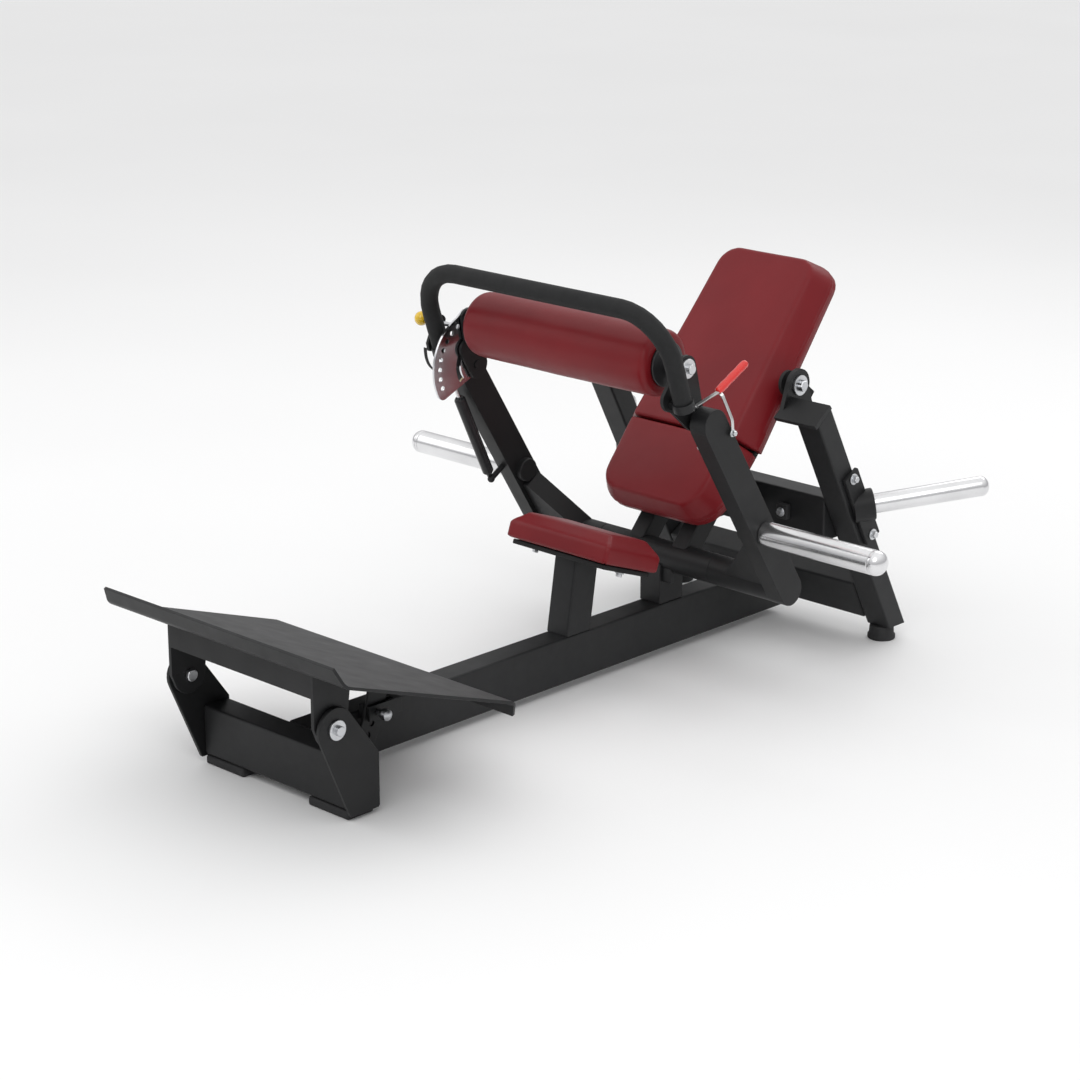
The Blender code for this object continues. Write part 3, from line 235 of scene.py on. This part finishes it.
def moulded(name, dark, light, rough, grain, scale, coat_weight=0.0, spots=None):
    """Rubber, foam or plastic; spots darkens the pores of an open foam."""
    make = Nodes(name)
    colour = make.ramp(make.noise(18.0, 3.0), [(0.3, dark), (0.7, light)])
    if spots:
        pores = make.ramp(make.noise(scale * 0.8, 2.0), [(0.30, spots), (0.46, light)])
        blend = make.tree.nodes.new("ShaderNodeMix")
        blend.data_type = "RGBA"
        blend.blend_type = "MULTIPLY"
        blend.inputs["Factor"].default_value = 0.6
        make.link(colour, blend.inputs["A"])
        make.link(pores, blend.inputs["B"])
        make.link(blend.outputs["Result"], make.shader.inputs["Base Color"])
    else:
        make.link(colour, make.shader.inputs["Base Color"])
    make.link(make.spread(make.noise(45.0, 4.0), *rough), make.shader.inputs["Roughness"])
    make.bump(make.noise(scale, 3.0), grain, 0.0004)
    make.set(Coat_Weight=coat_weight, Coat_Roughness=0.08)
    return make.material


RED = vinyl("red_leatherette", (0.158, 0.0048, 0.0085), (0.182, 0.0060, 0.0100),
            (0.206, 0.0074, 0.0120))
RED_DARK = vinyl("red_seam", (0.060, 0.004, 0.006), (0.070, 0.005, 0.007),
                 (0.080, 0.006, 0.008))
BLACK = coat("black_powder_coat", (0.0085, 0.0087, 0.0092), (0.0125, 0.0128, 0.0135))
BOARD = coat("black_board", (0.007, 0.007, 0.007), (0.011, 0.011, 0.011), (0.55, 0.75))
CHROME = metal("satin_chrome", (0.70, 0.70, 0.71), (0.84, 0.84, 0.85), (0.16, 0.27),
               (0.02, 1.0, 1.0), 0.10, 700.0)
ZINC = metal("bright_zinc", (0.55, 0.56, 0.58), (0.76, 0.77, 0.78), (0.22, 0.38))
SECTOR = metal("polished_zinc_plate", (0.62, 0.62, 0.64), (0.80, 0.80, 0.82), (0.10, 0.22),
               (1.0, 0.15, 1.0), 0.07, 260.0)
STEEL = metal("bare_steel", (0.60, 0.60, 0.60), (0.78, 0.78, 0.77), (0.25, 0.36))
RUBBER = moulded("black_rubber", (0.012, 0.012, 0.013), (0.020, 0.020, 0.021), (0.62, 0.82),
                 0.45, 420.0)
FOAM = moulded("foam_sleeve", (0.012, 0.0125, 0.0135), (0.019, 0.0198, 0.0210), (0.70, 0.88),
               0.55, 620.0, spots=(0.5, 0.5, 0.5))
PLASTIC = moulded("black_moulding", (0.016, 0.016, 0.017), (0.024, 0.024, 0.026),
                  (0.30, 0.46), 0.20, 500.0)
YELLOW = moulded("yellow_plastic", (0.74, 0.45, 0.015), (0.84, 0.55, 0.030), (0.16, 0.26),
                 0.03, 300.0, 0.6)
GRIP = moulded("red_dipped_grip", (0.62, 0.022, 0.018), (0.74, 0.035, 0.028), (0.22, 0.34),
               0.08, 350.0, 0.4)
STRUT = coat("strut_enamel", (0.010, 0.010, 0.011), (0.016, 0.016, 0.017), (0.16, 0.26), 0.05)
WEBBING = moulded("black_webbing", (0.010, 0.010, 0.011), (0.020, 0.020, 0.021),
                  (0.7, 0.9), 0.9, 900.0)


# ---------------------------------------------------------------- mesh helpers
def bell(distance, width):
    """1 at distance zero, fading to 0 over a few widths either side."""
    return math.exp(-(distance / width) ** 2)


def piece(name, shape, material, body, smooth=40):
    """Object from a bmesh, in one material, riding on a body of the frame."""
    bmesh.ops.recalc_face_normals(shape, faces=shape.faces)
    mesh = bpy.data.meshes.new(name)
    shape.to_mesh(mesh)
    shape.free()
    obj = bpy.data.objects.new(name, mesh)
    SCENE.collection.objects.link(obj)
    mesh.materials.append(material)
    shade(obj, smooth)
    if body:
        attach(obj, body)
    return obj


def shade(obj, degrees):
    """Smooth shading with sharp edges over an angle."""
    mesh = obj.data
    mesh.polygons.foreach_set("use_smooth", [True] * len(mesh.polygons))
    mesh.set_sharp_from_angle(angle=math.radians(degrees))


def frame_to(direction):
    """Rotation that turns +Z to a direction."""
    return Vector(direction).normalized().to_track_quat("Z", "Y").to_matrix().to_4x4()


def lathe(profile, start, direction, steps=48, radius_scale=None):
    """Solid of revolution: profile is (radius, distance along) from end to end."""
    shape = bmesh.new()
    place = Matrix.Translation(start) @ frame_to(direction)
    rings = []
    for radius, rise in profile:
        if radius < 1e-6:
            rings.append([shape.verts.new(place @ Vector((0, 0, rise)))])
            continue
        ring = []
        for step in range(steps):
            angle = 2 * math.pi * step / steps
            scale = radius_scale(angle, rise) if radius_scale else 1.0
            ring.append(shape.verts.new(place @ Vector((radius * scale * math.cos(angle),
                                                        radius * scale * math.sin(angle),
                                                        rise))))
        rings.append(ring)
    for lower, upper in zip(rings, rings[1:]):
        for step in range(steps):
            after = (step + 1) % steps
            if len(lower) == 1:
                shape.faces.new((lower[0], upper[after], upper[step]))
            elif len(upper) == 1:
                shape.faces.new((lower[step], lower[after], upper[0]))
            else:
                shape.faces.new((lower[step], lower[after], upper[after], upper[step]))
    return shape


def tube_shape(points, radius, steps=12, closed=False):
    """Round bar along points, with parallel-carried rings."""
    shape = bmesh.new()
    rings = []
    count = len(points)
    normal = None
    for index, point in enumerate(points):
        ahead = points[(index + 1) % count] if closed or index < count - 1 else point
        behind = points[index - 1] if closed or index > 0 else point
        tangent = (ahead - behind).normalized()
        if normal is None:
            normal = tangent.orthogonal().normalized()
        normal = (normal - tangent * normal.dot(tangent)).normalized()
        side = tangent.cross(normal)
        ring = []
        for step in range(steps):
            angle = 2 * math.pi * step / steps
            ring.append(shape.verts.new(point + (normal * math.cos(angle)
                                                 + side * math.sin(angle)) * radius))
        rings.append(ring)
    pairs = list(zip(rings, rings[1:]))
    if closed:
        pairs.append((rings[-1], rings[0]))
    for lower, upper in pairs:
        for step in range(steps):
            after = (step + 1) % steps
            shape.faces.new((lower[step], lower[after], upper[after], upper[step]))
    if not closed:
        shape.faces.new(rings[0])
        shape.faces.new(list(reversed(rings[-1])))
    return shape


def join(target, other):
    """Add another bmesh to the target and free it."""
    mesh = bpy.data.meshes.new("joined")
    other.to_mesh(mesh)
    other.free()
    target.from_mesh(mesh)
    bpy.data.meshes.remove(mesh)
    return target


def hex_bolt(name, base, direction, across, body, washer=None, thick=0.0022, height=None):
    """Chamfered hexagon head on a washer, standing on base and facing direction."""
    shape = bmesh.new()
    seat = 0.0
    if washer:
        edge = 0.0005
        ring = [(0, 0), (washer - edge, 0), (washer, edge), (washer, thick - edge),
                (washer - edge, thick), (0, thick)]
        join(shape, lathe(ring, base, direction, 36))
        seat = thick
    corner = across / math.sqrt(3)
    height = height or across * 0.62
    place = Matrix.Translation(base) @ frame_to(direction)
    rings = []
    for scale, rise in ((0.96, seat), (1.0, seat + 0.0006), (1.0, seat + height * 0.80),
                        (0.90, seat + height)):
        rings.append([shape.verts.new(place @ Vector((corner * scale * math.cos(k * math.pi / 3),
                                                      corner * scale * math.sin(k * math.pi / 3),
                                                      rise))) for k in range(6)])
    for lower, upper in zip(rings, rings[1:]):
        for k in range(6):
            after = (k + 1) % 6
            shape.faces.new((lower[k], lower[after], upper[after], upper[k]))
    shape.faces.new(rings[-1])
    shape.faces.new(list(reversed(rings[0])))
    return piece(name, shape, ZINC, body, 35)


# ---------------------------------------------------------------- cushions
def eased(mesh, values, rounds):
    """Average a vector per vertex with its neighbours, several times over."""
    count = len(mesh.vertices)
    ends = np.empty(len(mesh.edges) * 2, np.int64)
    mesh.edges.foreach_get("vertices", ends)
    first, second = ends[0::2], ends[1::2]
    degree = (np.bincount(first, minlength=count) + np.bincount(second, minlength=count))
    for _ in range(rounds):
        total = np.zeros_like(values)
        np.add.at(total, first, values[second])
        np.add.at(total, second, values[first])
        values = 0.5 * values + 0.5 * total / np.maximum(degree, 1)[:, None]
    return values


def points_of(mesh):
    """Vertex positions as an array of rows."""
    flat = np.empty(len(mesh.vertices) * 3)
    mesh.vertices.foreach_get("co", flat)
    return flat.reshape(-1, 3)


def inflate(obj, pressure, limit):
    """Blow a closed pad up with cloth, even out and limit how far it moves, keep the result."""
    start = points_of(obj.data)
    cloth = obj.modifiers.new("padding", "CLOTH")
    settings = cloth.settings
    settings.quality = 5
    settings.mass = 0.3
    settings.tension_stiffness = 30
    settings.compression_stiffness = 30
    settings.bending_stiffness = 4.0
    settings.use_pressure = True
    settings.uniform_pressure_force = pressure
    settings.effector_weights.gravity = 0.0
    cloth.collision_settings.use_collision = False
    cloth.point_cache.frame_start = 1
    cloth.point_cache.frame_end = CLOTH_FRAMES
    for number in range(1, CLOTH_FRAMES + 1):
        SCENE.frame_set(number)
    graph = bpy.context.evaluated_depsgraph_get()
    blown = bpy.data.meshes.new_from_object(obj.evaluated_get(graph))
    step = eased(obj.data, points_of(blown) - start, EASE_ROUNDS)
    obj.modifiers.remove(cloth)
    bpy.data.meshes.remove(blown)
    SCENE.frame_set(1)
    reach = np.linalg.norm(step, axis=1, keepdims=True)
    step *= limit / max(float(np.percentile(reach, TYPICAL_REACH)), 1e-6)
    reach = np.linalg.norm(step, axis=1, keepdims=True)
    step *= np.minimum(1.0, limit / np.maximum(reach, 1e-9))
    obj.data.vertices.foreach_set("co", (start + step).ravel())
    obj.data.update()
    return obj


def cushion(name, node, body, voxel, limit, grooves):
    """Upholstered pad over a CAD solid: remeshed, blown up, subdivided, then seamed."""
    mesh = NODES[node].data.copy()
    obj = bpy.data.objects.new(name, mesh)
    SCENE.collection.objects.link(obj)
    shape = bmesh.new()
    shape.from_mesh(mesh)
    bmesh.ops.remove_doubles(shape, verts=shape.verts, dist=1e-5)
    shape.to_mesh(mesh)
    shape.free()
    remesh = obj.modifiers.new("voxels", "REMESH")
    remesh.mode = "VOXEL"
    remesh.voxel_size = voxel
    smooth = obj.modifiers.new("ease", "SMOOTH")
    smooth.factor = 0.5
    smooth.iterations = 2
    inset = obj.modifiers.new("inset", "DISPLACE")
    inset.strength = -CUSHION_INSET
    inset.mid_level = 0.0
    graph = bpy.context.evaluated_depsgraph_get()
    fine = bpy.data.meshes.new_from_object(obj.evaluated_get(graph))
    obj.modifiers.clear()
    obj.data = fine
    inflate(obj, CUSHION_PRESSURE, limit)
    subdivide = obj.modifiers.new("fine", "SUBSURF")
    subdivide.levels = 1
    subdivide.render_levels = 1
    graph = bpy.context.evaluated_depsgraph_get()
    final = bpy.data.meshes.new_from_object(obj.evaluated_get(graph))
    obj.modifiers.clear()
    obj.data = final
    final.name = name
    normals = [vertex.normal.copy() for vertex in final.vertices]
    for vertex, normal in zip(final.vertices, normals):
        vertex.co -= normal * grooves(vertex.co)
    final.materials.clear()
    final.materials.append(RED)
    final.polygons.foreach_set("use_smooth", [True] * len(final.polygons))
    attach(obj, body)
    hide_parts(node)


def back_local(point):
    """(across, up, in front of the board) of a point of the back rest."""
    cos, sin = math.cos(BACK_ANGLE), math.sin(BACK_ANGLE)
    y = point.y + MACHINE_LENGTH / 2
    return point.x, y * cos + point.z * sin, BOARD_FRONT - (y * sin - point.z * cos)


def back_grooves(point):
    """A crease round the rim where the cover turns, and a slight unevenness of the foam."""
    proud = back_local(point)[2]
    ease = 0.0007 * noise.noise(point * 14.0)
    rim = 0.0012 * bell(proud - 0.011, 0.0028)
    return ease + rim


cushion("upper_back_cushion", "upper_back_pad", "back_rest", 0.0050, 0.0030, back_grooves)
cushion("lower_back_cushion", "lower_back_pad", "back_rest", 0.0050, 0.0030, back_grooves)


def wrap(name, node):
    """Upholstery turned round the board's rim, a little wider than the pad in front."""
    rim = {}
    for vertex in NODES[node].data.vertices:
        across, up, proud = back_local(vertex.co)
        if proud < 0.0012:
            rim[(round(across, 4), round(up, 4))] = (across, up)
    points = np.array(list(rim.values()))
    middle = points.mean(axis=0)
    order = np.argsort(np.arctan2(points[:, 1] - middle[1], points[:, 0] - middle[0]))
    outline = points[order]
    shape = bmesh.new()
    rings = []
    for proud, grow in ((-0.0118, -0.0030), (-0.0108, -0.0008), (-0.0090, 0.0012),
                        (0.0090, 0.0012), (0.0112, 0.0002), (0.0118, -0.0040)):
        ring = []
        for across, up in outline:
            new_up = up + (grow * (1 if up > middle[1] else -1) if abs(up - BACK_SEAM) > 0.01
                           else 0.0)
            new_across = across + grow * math.copysign(min(1.0, abs(across) / 0.10), across)
            ring.append(shape.verts.new(back_spot(new_across, new_up, BOARD_FRONT - proud)))
        rings.append(ring)
    count = len(outline)
    for lower, upper in zip(rings, rings[1:]):
        for k in range(count):
            after = (k + 1) % count
            shape.faces.new((lower[k], lower[after], upper[after], upper[k]))
    shape.faces.new(rings[-1])
    shape.faces.new(list(reversed(rings[0])))
    piece(name, shape, RED, "back_rest", 50)


wrap("upper_back_wrap", "upper_back_pad")
wrap("lower_back_wrap", "lower_back_pad")


def seat_spot(x, back, up):
    """Point of the tilted seat: across, back along its base, up through its thickness."""
    cos, sin = math.cos(SEAT_TILT), math.sin(SEAT_TILT)
    return Vector((x, along(SEAT_EDGE[0] + back * cos - up * sin),
                   SEAT_EDGE[1] + back * sin + up * cos))


def seat_grooves(point):
    """Mitred corner seams: the creases where front, sides and their bevels meet."""
    cos, sin = math.cos(SEAT_TILT), math.sin(SEAT_TILT)
    y = point.y + MACHINE_LENGTH / 2 - SEAT_EDGE[0]
    z = point.z - SEAT_EDGE[1]
    back = y * cos + z * sin
    to_side = SEAT_HALF - abs(point.x)
    to_end = min(back, SEAT_DEPTH - back)
    near = max(to_side, to_end)
    mitre = 0.0015 * bell(to_side - to_end, 0.0024) if near < SEAT_BEVEL else 0.0
    return mitre + 0.0005 * noise.noise(point * 16.0)


cushion("seat_cushion", "seat_pad", "frame", 0.0045, 0.0026, seat_grooves)


# ---------------------------------------------------------------- roller
def roller():
    """Padded roller: a crowned sleeve with rounded ends, a ripple, and a seam at each end."""
    low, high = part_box("roller_pad")
    length = high.x - low.x
    radius = (high.z - low.z) / 2
    edge = 0.016
    core = 0.030
    profile = [(core, 0.004), (core + 0.004, 0.0008), (core + 0.012, 0.0)]
    for step in range(9):
        angle = math.radians(90 * step / 8)
        profile.append((radius - 0.0012 - edge + edge * math.sin(angle),
                        edge * (1 - math.cos(angle))))
    rows = 56
    for row in range(1, rows):
        rise = edge + (length - 2 * edge) * row / rows
        middle = abs(rise / length - 0.5) * 2
        crown = 0.0012 * (1 - middle ** 3)
        groove = 0.0014 * (bell(rise - edge - 0.004, 0.0022)
                           + bell(length - rise - edge - 0.004, 0.0022))
        profile.append((radius - 0.0012 + crown - groove, rise))
    for step in range(9):
        angle = math.radians(90 - 90 * step / 8)
        profile.append((radius - 0.0012 - edge + edge * math.sin(angle),
                        length - edge * (1 - math.cos(angle))))
    profile += [(core + 0.012, length), (core + 0.004, length - 0.0008), (core, length - 0.004)]

    def ripple(angle, rise):
        wave = noise.noise(Vector((math.cos(angle) * 2.2, math.sin(angle) * 2.2, rise * 11.0)))
        seam = 0.010 * bell(math.remainder(angle - 4.2, 2 * math.pi), 0.035)
        return 1.0 + 0.008 * wave - seam

    shape = lathe(profile, Vector((low.x, ROLLER.y, ROLLER.z)), (1, 0, 0), 112, ripple)
    inner = [edge_ for edge_ in shape.edges if edge_.is_boundary]
    bmesh.ops.holes_fill(shape, edges=inner, sides=0)
    pad = piece("roller_cushion", shape, RED, None, 75)
    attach(pad, "roller")
    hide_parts("roller_pad")
    for side, x, sign in (("left", low.x, 1), ("right", high.x, -1)):
        points = []
        for step in range(72):
            angle = 2 * math.pi * step / 72
            reach = radius - 0.0030
            points.append(Vector((x + sign * (edge + 0.004), ROLLER.y + reach * math.cos(angle),
                                  ROLLER.z + reach * math.sin(angle))))
        piece("roller_seam_" + side, tube_shape(points, 0.0011, 6, True), RED_DARK, "roller",
              75)


roller()


# ---------------------------------------------------------------- chrome horns and caps
def horn(name, node, cap_node, body, sign):
    """Chrome weight horn with a beaded, domed end; sign is the side it points to."""
    low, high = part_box(node)
    cap_low, cap_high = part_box(cap_node)
    centre = (low + high) / 2
    radius = (high.z - low.z) / 2
    start = low.x if sign > 0 else high.x
    tip = high.x if sign > 0 else low.x
    length = abs(tip - start)
    profile = [(0, 0), (radius - 0.001, 0), (radius, 0.001), (radius, length - 0.001),
               (radius - 0.0014, length), (0, length)]
    tube = piece(name + "_tube", lathe(profile, Vector((start, centre.y, centre.z)),
                                       (sign, 0, 0), 64), CHROME, body, 35)
    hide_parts(node)
    cap_length = cap_high.x - cap_low.x
    dome = [(0, 0), (radius - 0.0016, 0), (radius - 0.0004, 0.0008), (radius, 0.0020)]
    bead = 0.006
    dome += [(radius, bead), (radius - 0.0010, bead + 0.0006), (radius, bead + 0.0012)]
    for step in range(1, 13):
        angle = math.radians(90 * step / 12)
        dome.append((radius * math.cos(angle) if step < 12 else 0,
                     bead + 0.0012 + (cap_length - bead - 0.0012) * math.sin(angle)))
    cap_start = cap_low.x if sign > 0 else cap_high.x
    cap = piece(name + "_end", lathe(dome, Vector((cap_start, centre.y, centre.z)),
                                     (sign, 0, 0), 64), CHROME, body, 35)
    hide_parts(cap_node)


horn("weight_horn_left_bright", "weight_horn_left", "horn_cap_left", "lever", -1)
horn("weight_horn_right_bright", "weight_horn_right", "horn_cap_right", "lever", 1)


# ---------------------------------------------------------------- CAD nodes that show
LOOKS = {
    BLACK: ("front_crossbar", "end_plate_left", "end_plate_right", "main_rail",
            "foot_lock_bracket", "seat_post", "rear_leg_left", "rear_leg_right",
            "upper_crossbeam", "lower_crossbeam", "hinge_bracket_left", "hinge_bracket_right",
            "storage_plate_left", "storage_plate_right", "pivot_housing", "pivot_pedestal",
            "back_rail_left", "back_rail_right", "foot_plate", "foot_plate_bracket",
            "foot_index_plate", "lever_arm_left", "lever_arm_right", "hub_sleeve_left",
            "hub_sleeve_right", "carriage_plate_left", "carriage_plate_right",
            "handle_bracket_left", "pin_bracket"),
    BOARD: ("seat_board", "back_frame"),
    RUBBER: ("rubber_pad_left", "rubber_pad_right", "rear_foot_left", "rear_foot_right",
             "stop_bumper"),
    CHROME: ("storage_horn_left", "storage_horn_right", "gas_strut_rod"),
    ZINC: ("pivot_shaft", "roller_axle", "pull_pin", "foot_lock_pin", "foot_pivot_bolt_left",
           "foot_pivot_bolt_right"),
    SECTOR: ("index_sector",),
    STEEL: ("latch_yoke",),
    STRUT: ("gas_strut_cylinder",),
    FOAM: ("handlebar",),
    PLASTIC: ("roller_core",),
    YELLOW: ("pull_pin_knob",),
    GRIP: ("latch_grip",),
}
ROUND = ("handlebar", "pull_pin_knob", "latch_grip", "storage_horn_left", "storage_horn_right",
         "gas_strut_cylinder", "gas_strut_rod", "roller_core", "rear_foot_left",
         "rear_foot_right")
for look, names in LOOKS.items():
    for node_name in names:
        part = NODES[node_name]
        part.data.materials.clear()
        part.data.materials.append(look)
        part.data.polygons.foreach_set("use_smooth", [True] * len(part.data.polygons))
        weld = part.modifiers.new("weld", "WELD")
        weld.merge_threshold = 0.00002
        if node_name not in ROUND:
            edge = part.modifiers.new("edge", "BEVEL")
            edge.width = 0.0009
            edge.segments = 2
            edge.limit_method = "ANGLE"
            edge.angle_limit = math.radians(38)
            edge.use_clamp_overlap = True
            edge.harden_normals = False
        tidy = part.modifiers.new("normals", "WEIGHTED_NORMAL")
        tidy.keep_sharp = False
        tidy.weight = 80


# ---------------------------------------------------------------- latch bail
def strip(name, path, widths, thick, across, material, body):
    """Bent flat bar: a path, its width at each point, and the direction across it."""
    shape = bmesh.new()
    rings = []
    for index, point in enumerate(path):
        ahead = path[min(index + 1, len(path) - 1)]
        behind = path[max(index - 1, 0)]
        tangent = (ahead - behind).normalized()
        wide = (across[index] - tangent * across[index].dot(tangent)).normalized()
        out = tangent.cross(wide).normalized()
        half, deep = widths[index] / 2, thick / 2
        soft = deep * 0.6
        ring = []
        for u, v in ((half, deep - soft), (half - soft, deep), (soft - half, deep),
                     (-half, deep - soft), (-half, soft - deep), (soft - half, -deep),
                     (half - soft, -deep), (half, soft - deep)):
            ring.append(shape.verts.new(point + wide * u + out * v))
        rings.append(ring)
    for lower, upper in zip(rings, rings[1:]):
        for k in range(8):
            after = (k + 1) % 8
            shape.faces.new((lower[k], lower[after], upper[after], upper[k]))
    shape.faces.new(rings[0])
    shape.faces.new(list(reversed(rings[-1])))
    return piece(name, shape, material, body, 40)


def rounded_path(corners, radius, steps=6):
    """Corners joined by straight runs and short curves."""
    path = [corners[0]]
    for before, corner, after in zip(corners, corners[1:], corners[2:]):
        first = corner + (before - corner).normalized() * radius
        last = corner + (after - corner).normalized() * radius
        for step in range(steps + 1):
            t = step / steps
            path.append(first.lerp(corner, t).lerp(corner.lerp(last, t), t))
    return path + [corners[-1]]


def latch():
    """Bail that straddles the right arm: two prongs from one apex, the inner one hooked."""
    middle = ARM_MIDDLE
    inner_x = middle - ARM_HALF - 0.0055
    outer_x = middle + ARM_HALF + 0.0045
    pivot = Vector(JOINTS["latch_swing"]["pos_m"])
    side = Vector((1, 0, 0))
    front = Vector((0, 1, 0))
    apex = Vector((middle, along(0.9835), 0.6710))
    inner = rounded_path([apex + Vector((0.004, 0.004, 0.003)),
                          Vector((inner_x - 0.004, along(0.9520), 0.6420)),
                          Vector((inner_x - 0.002, along(0.9640), 0.6150)),
                          Vector((inner_x - 0.002, along(0.9830), 0.5820)),
                          Vector((inner_x - 0.003, along(0.9800), 0.5540)),
                          Vector((inner_x - 0.006, along(0.9660), 0.5560))], 0.008)
    across = [side.lerp(front, min(1.0, k / 9)) for k in range(len(inner))]
    widths = [0.0075 + 0.0050 * bell(k / len(inner) - 0.42, 0.20) for k in range(len(inner))]
    bail = strip("latch_inner_prong", inner, widths, PRONG_THICK, across, STEEL, "latch")
    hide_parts("latch_yoke")
    outer = rounded_path([apex + Vector((-0.004, 0.004, 0.003)),
                          apex + Vector((0.010, 0.004, -0.006)),
                          Vector((outer_x, along(1.0010), 0.6160)),
                          Vector((outer_x, pivot.y + 0.0015, pivot.z - 0.0070))], 0.007)
    across = [side.lerp(front, min(1.0, k / 7)) for k in range(len(outer))]
    strip("latch_outer_prong", outer, [0.0075] * len(outer), PRONG_THICK, across, STEEL,
          "latch")
    hook = [Vector((inner_x - 0.0050, along(0.9500), 0.6300)),
            Vector((inner_x - 0.0055, along(0.9560), 0.6050)),
            Vector((inner_x - 0.0055, along(0.9640), 0.5860)),
            Vector((inner_x - 0.0050, along(0.9700), 0.5740))]
    strip("latch_hook_plate", hook, [0.014, 0.026, 0.022, 0.010], 0.0030, [front] * len(hook),
          STEEL, "latch")
    for name, x, sign in (("inner", inner_x - 0.0050, -1), ("outer", outer_x + 0.0010, 1)):
        hex_bolt("latch_bolt_" + name, Vector((x, pivot.y, pivot.z)), (sign, 0, 0), 0.0100,
                 "latch", 0.0078, 0.0015)
    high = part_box("latch_grip")[1]
    direction = Vector((0, 0.070, 0.036)).normalized()
    length = (high - Vector((middle, apex.y, apex.z))).dot(direction)
    radius = 0.0082
    profile = [(0, 0), (0.0050, 0.0), (0.0072, 0.0018)]
    profile += [(radius - 0.0004 * math.cos(k * 1.7), 0.006 + (length - 0.016) * k / 10)
                for k in range(11)]
    profile += [(radius * math.cos(math.radians(15 * k)) if k < 6 else 0,
                 length - 0.0085 + 0.0085 * math.sin(math.radians(15 * k)))
                for k in range(1, 7)]
    grip = piece("latch_dipped_grip", lathe(profile, apex, direction, 32), GRIP, "latch",
                 60)
    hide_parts("latch_grip")


latch()


# ---------------------------------------------------------------- small fittings
def strap():
    """Thin webbing loop behind the left hand side of the carriage."""
    start = Vector((-0.3395, along(0.8500), 0.6690))
    end = Vector((-0.3395, along(0.8770), 0.6160))
    middle = (start + end) / 2 + Vector((0, -0.014, -0.010))
    path = []
    for step in range(17):
        t = step / 16
        path.append(start.lerp(middle, t).lerp(middle.lerp(end, t), t))
    strip("strap_loop", path, [0.009] * 17, 0.0016, [Vector((1, 0, 0))] * 17, WEBBING,
          "carriage")


strap()


def bumper_nut():
    """Nut that holds the rubber stop's stud."""
    low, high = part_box("stop_bumper")
    centre = (low + high) / 2
    hex_bolt("bumper_nut", Vector((centre.x, low.y - 0.0002, centre.z)), (0, -1, 0), 0.0115,
             "frame", 0.0100)


bumper_nut()


# ---------------------------------------------------------------- fasteners
def fasteners():
    """Bolts of the back rest's hinges, the seat board and the storage plates."""
    for side, sign in (("left", -1), ("right", 1)):
        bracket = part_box("back_frame")
        end = bracket[1].x if sign > 0 else bracket[0].x
        hinge = Vector((end - sign * 0.0137, BACK_PIVOT.y, BACK_PIVOT.z))
        hex_bolt("back_bolt_" + side, hinge, (sign, 0, 0), 0.0215, "back_rest", 0.0215, 0.0050,
                 0.0092)
        under = seat_spot(sign * 0.117, 0.078, -0.0106)
        down = seat_spot(0, 0, -1) - seat_spot(0, 0, 0)
        hex_bolt("seat_bolt_" + side, under, down, 0.0115, "frame", 0.0095)
        face = sign * (LEG_FACE + 0.0103)
        for number, (back, up) in enumerate(((1.4280, 0.4020), (1.5000, 0.2665)), 1):
            hex_bolt("storage_bolt_%s_%d" % (side, number), Vector((face, along(back), up)),
                     (sign, 0, 0), 0.0130, "frame", 0.0120)


fasteners()


# ---------------------------------------------------------------- stage
shape = bmesh.new()
bmesh.ops.create_grid(shape, x_segments=2, y_segments=2, size=60)
floor_look = Nodes("pale_floor")
floor_look.link(floor_look.ramp(floor_look.noise(0.6, 2.0), [(0.3, (0.89, 0.89, 0.89)),
                                                             (0.7, (0.91, 0.91, 0.91))]),
                floor_look.shader.inputs["Base Color"])
floor_look.set(Roughness=0.7)
floor = piece("floor", shape, floor_look.material, None)

world = bpy.data.worlds.new("studio")
SCENE.world = world
world.use_nodes = True
sky = world.node_tree.nodes
sky_place = sky.new("ShaderNodeTexCoord")
sky_split = sky.new("ShaderNodeSeparateXYZ")
sky_ramp = sky.new("ShaderNodeValToRGB")
sky_ramp.color_ramp.elements[0].position = 0.02
sky_ramp.color_ramp.elements[0].color = (0.42, 0.42, 0.43, 1)
sky_ramp.color_ramp.elements[1].position = 0.75
sky_ramp.color_ramp.elements[1].color = (1.0, 1.0, 1.0, 1)
world.node_tree.links.new(sky_place.outputs["Generated"], sky_split.inputs["Vector"])
world.node_tree.links.new(sky_split.outputs["Z"], sky_ramp.inputs["Fac"])
world.node_tree.links.new(sky_ramp.outputs["Color"], sky["Background"].inputs["Color"])
sky["Background"].inputs["Strength"].default_value = 1.0


def softbox(name, place, aim_at, size, power):
    """Rectangular area light turned to a point."""
    lamp = bpy.data.lights.new(name, "AREA")
    lamp.shape = "RECTANGLE"
    lamp.size, lamp.size_y = size
    lamp.energy = power
    obj = bpy.data.objects.new(name, lamp)
    obj.location = place
    obj.rotation_euler = (Vector(aim_at) - Vector(place)).to_track_quat("-Z", "Y").to_euler()
    SCENE.collection.objects.link(obj)


softbox("key", (2.2, -2.6, 3.6), (0, 0, 0.4), (2.6, 2.2), 42)
softbox("fill", (-3.4, -1.6, 2.4), (0, 0, 0.4), (2.4, 2.4), 16)
softbox("rim", (-0.6, 3.4, 3.2), (0, 0, 0.5), (3.0, 1.6), 28)

lens = bpy.data.cameras.new("camera")
lens.lens = 92.56
lens.sensor_width = 36.0
camera = bpy.data.objects.new("camera", lens)
camera.location = (3.696, -2.9938 - MACHINE_LENGTH / 2, 2.012)
camera.rotation_euler = (math.radians(90 - 17.522), 0, math.radians(43.967))
SCENE.collection.objects.link(camera)
SCENE.camera = camera
SCENE.view_settings.view_transform = "Standard"
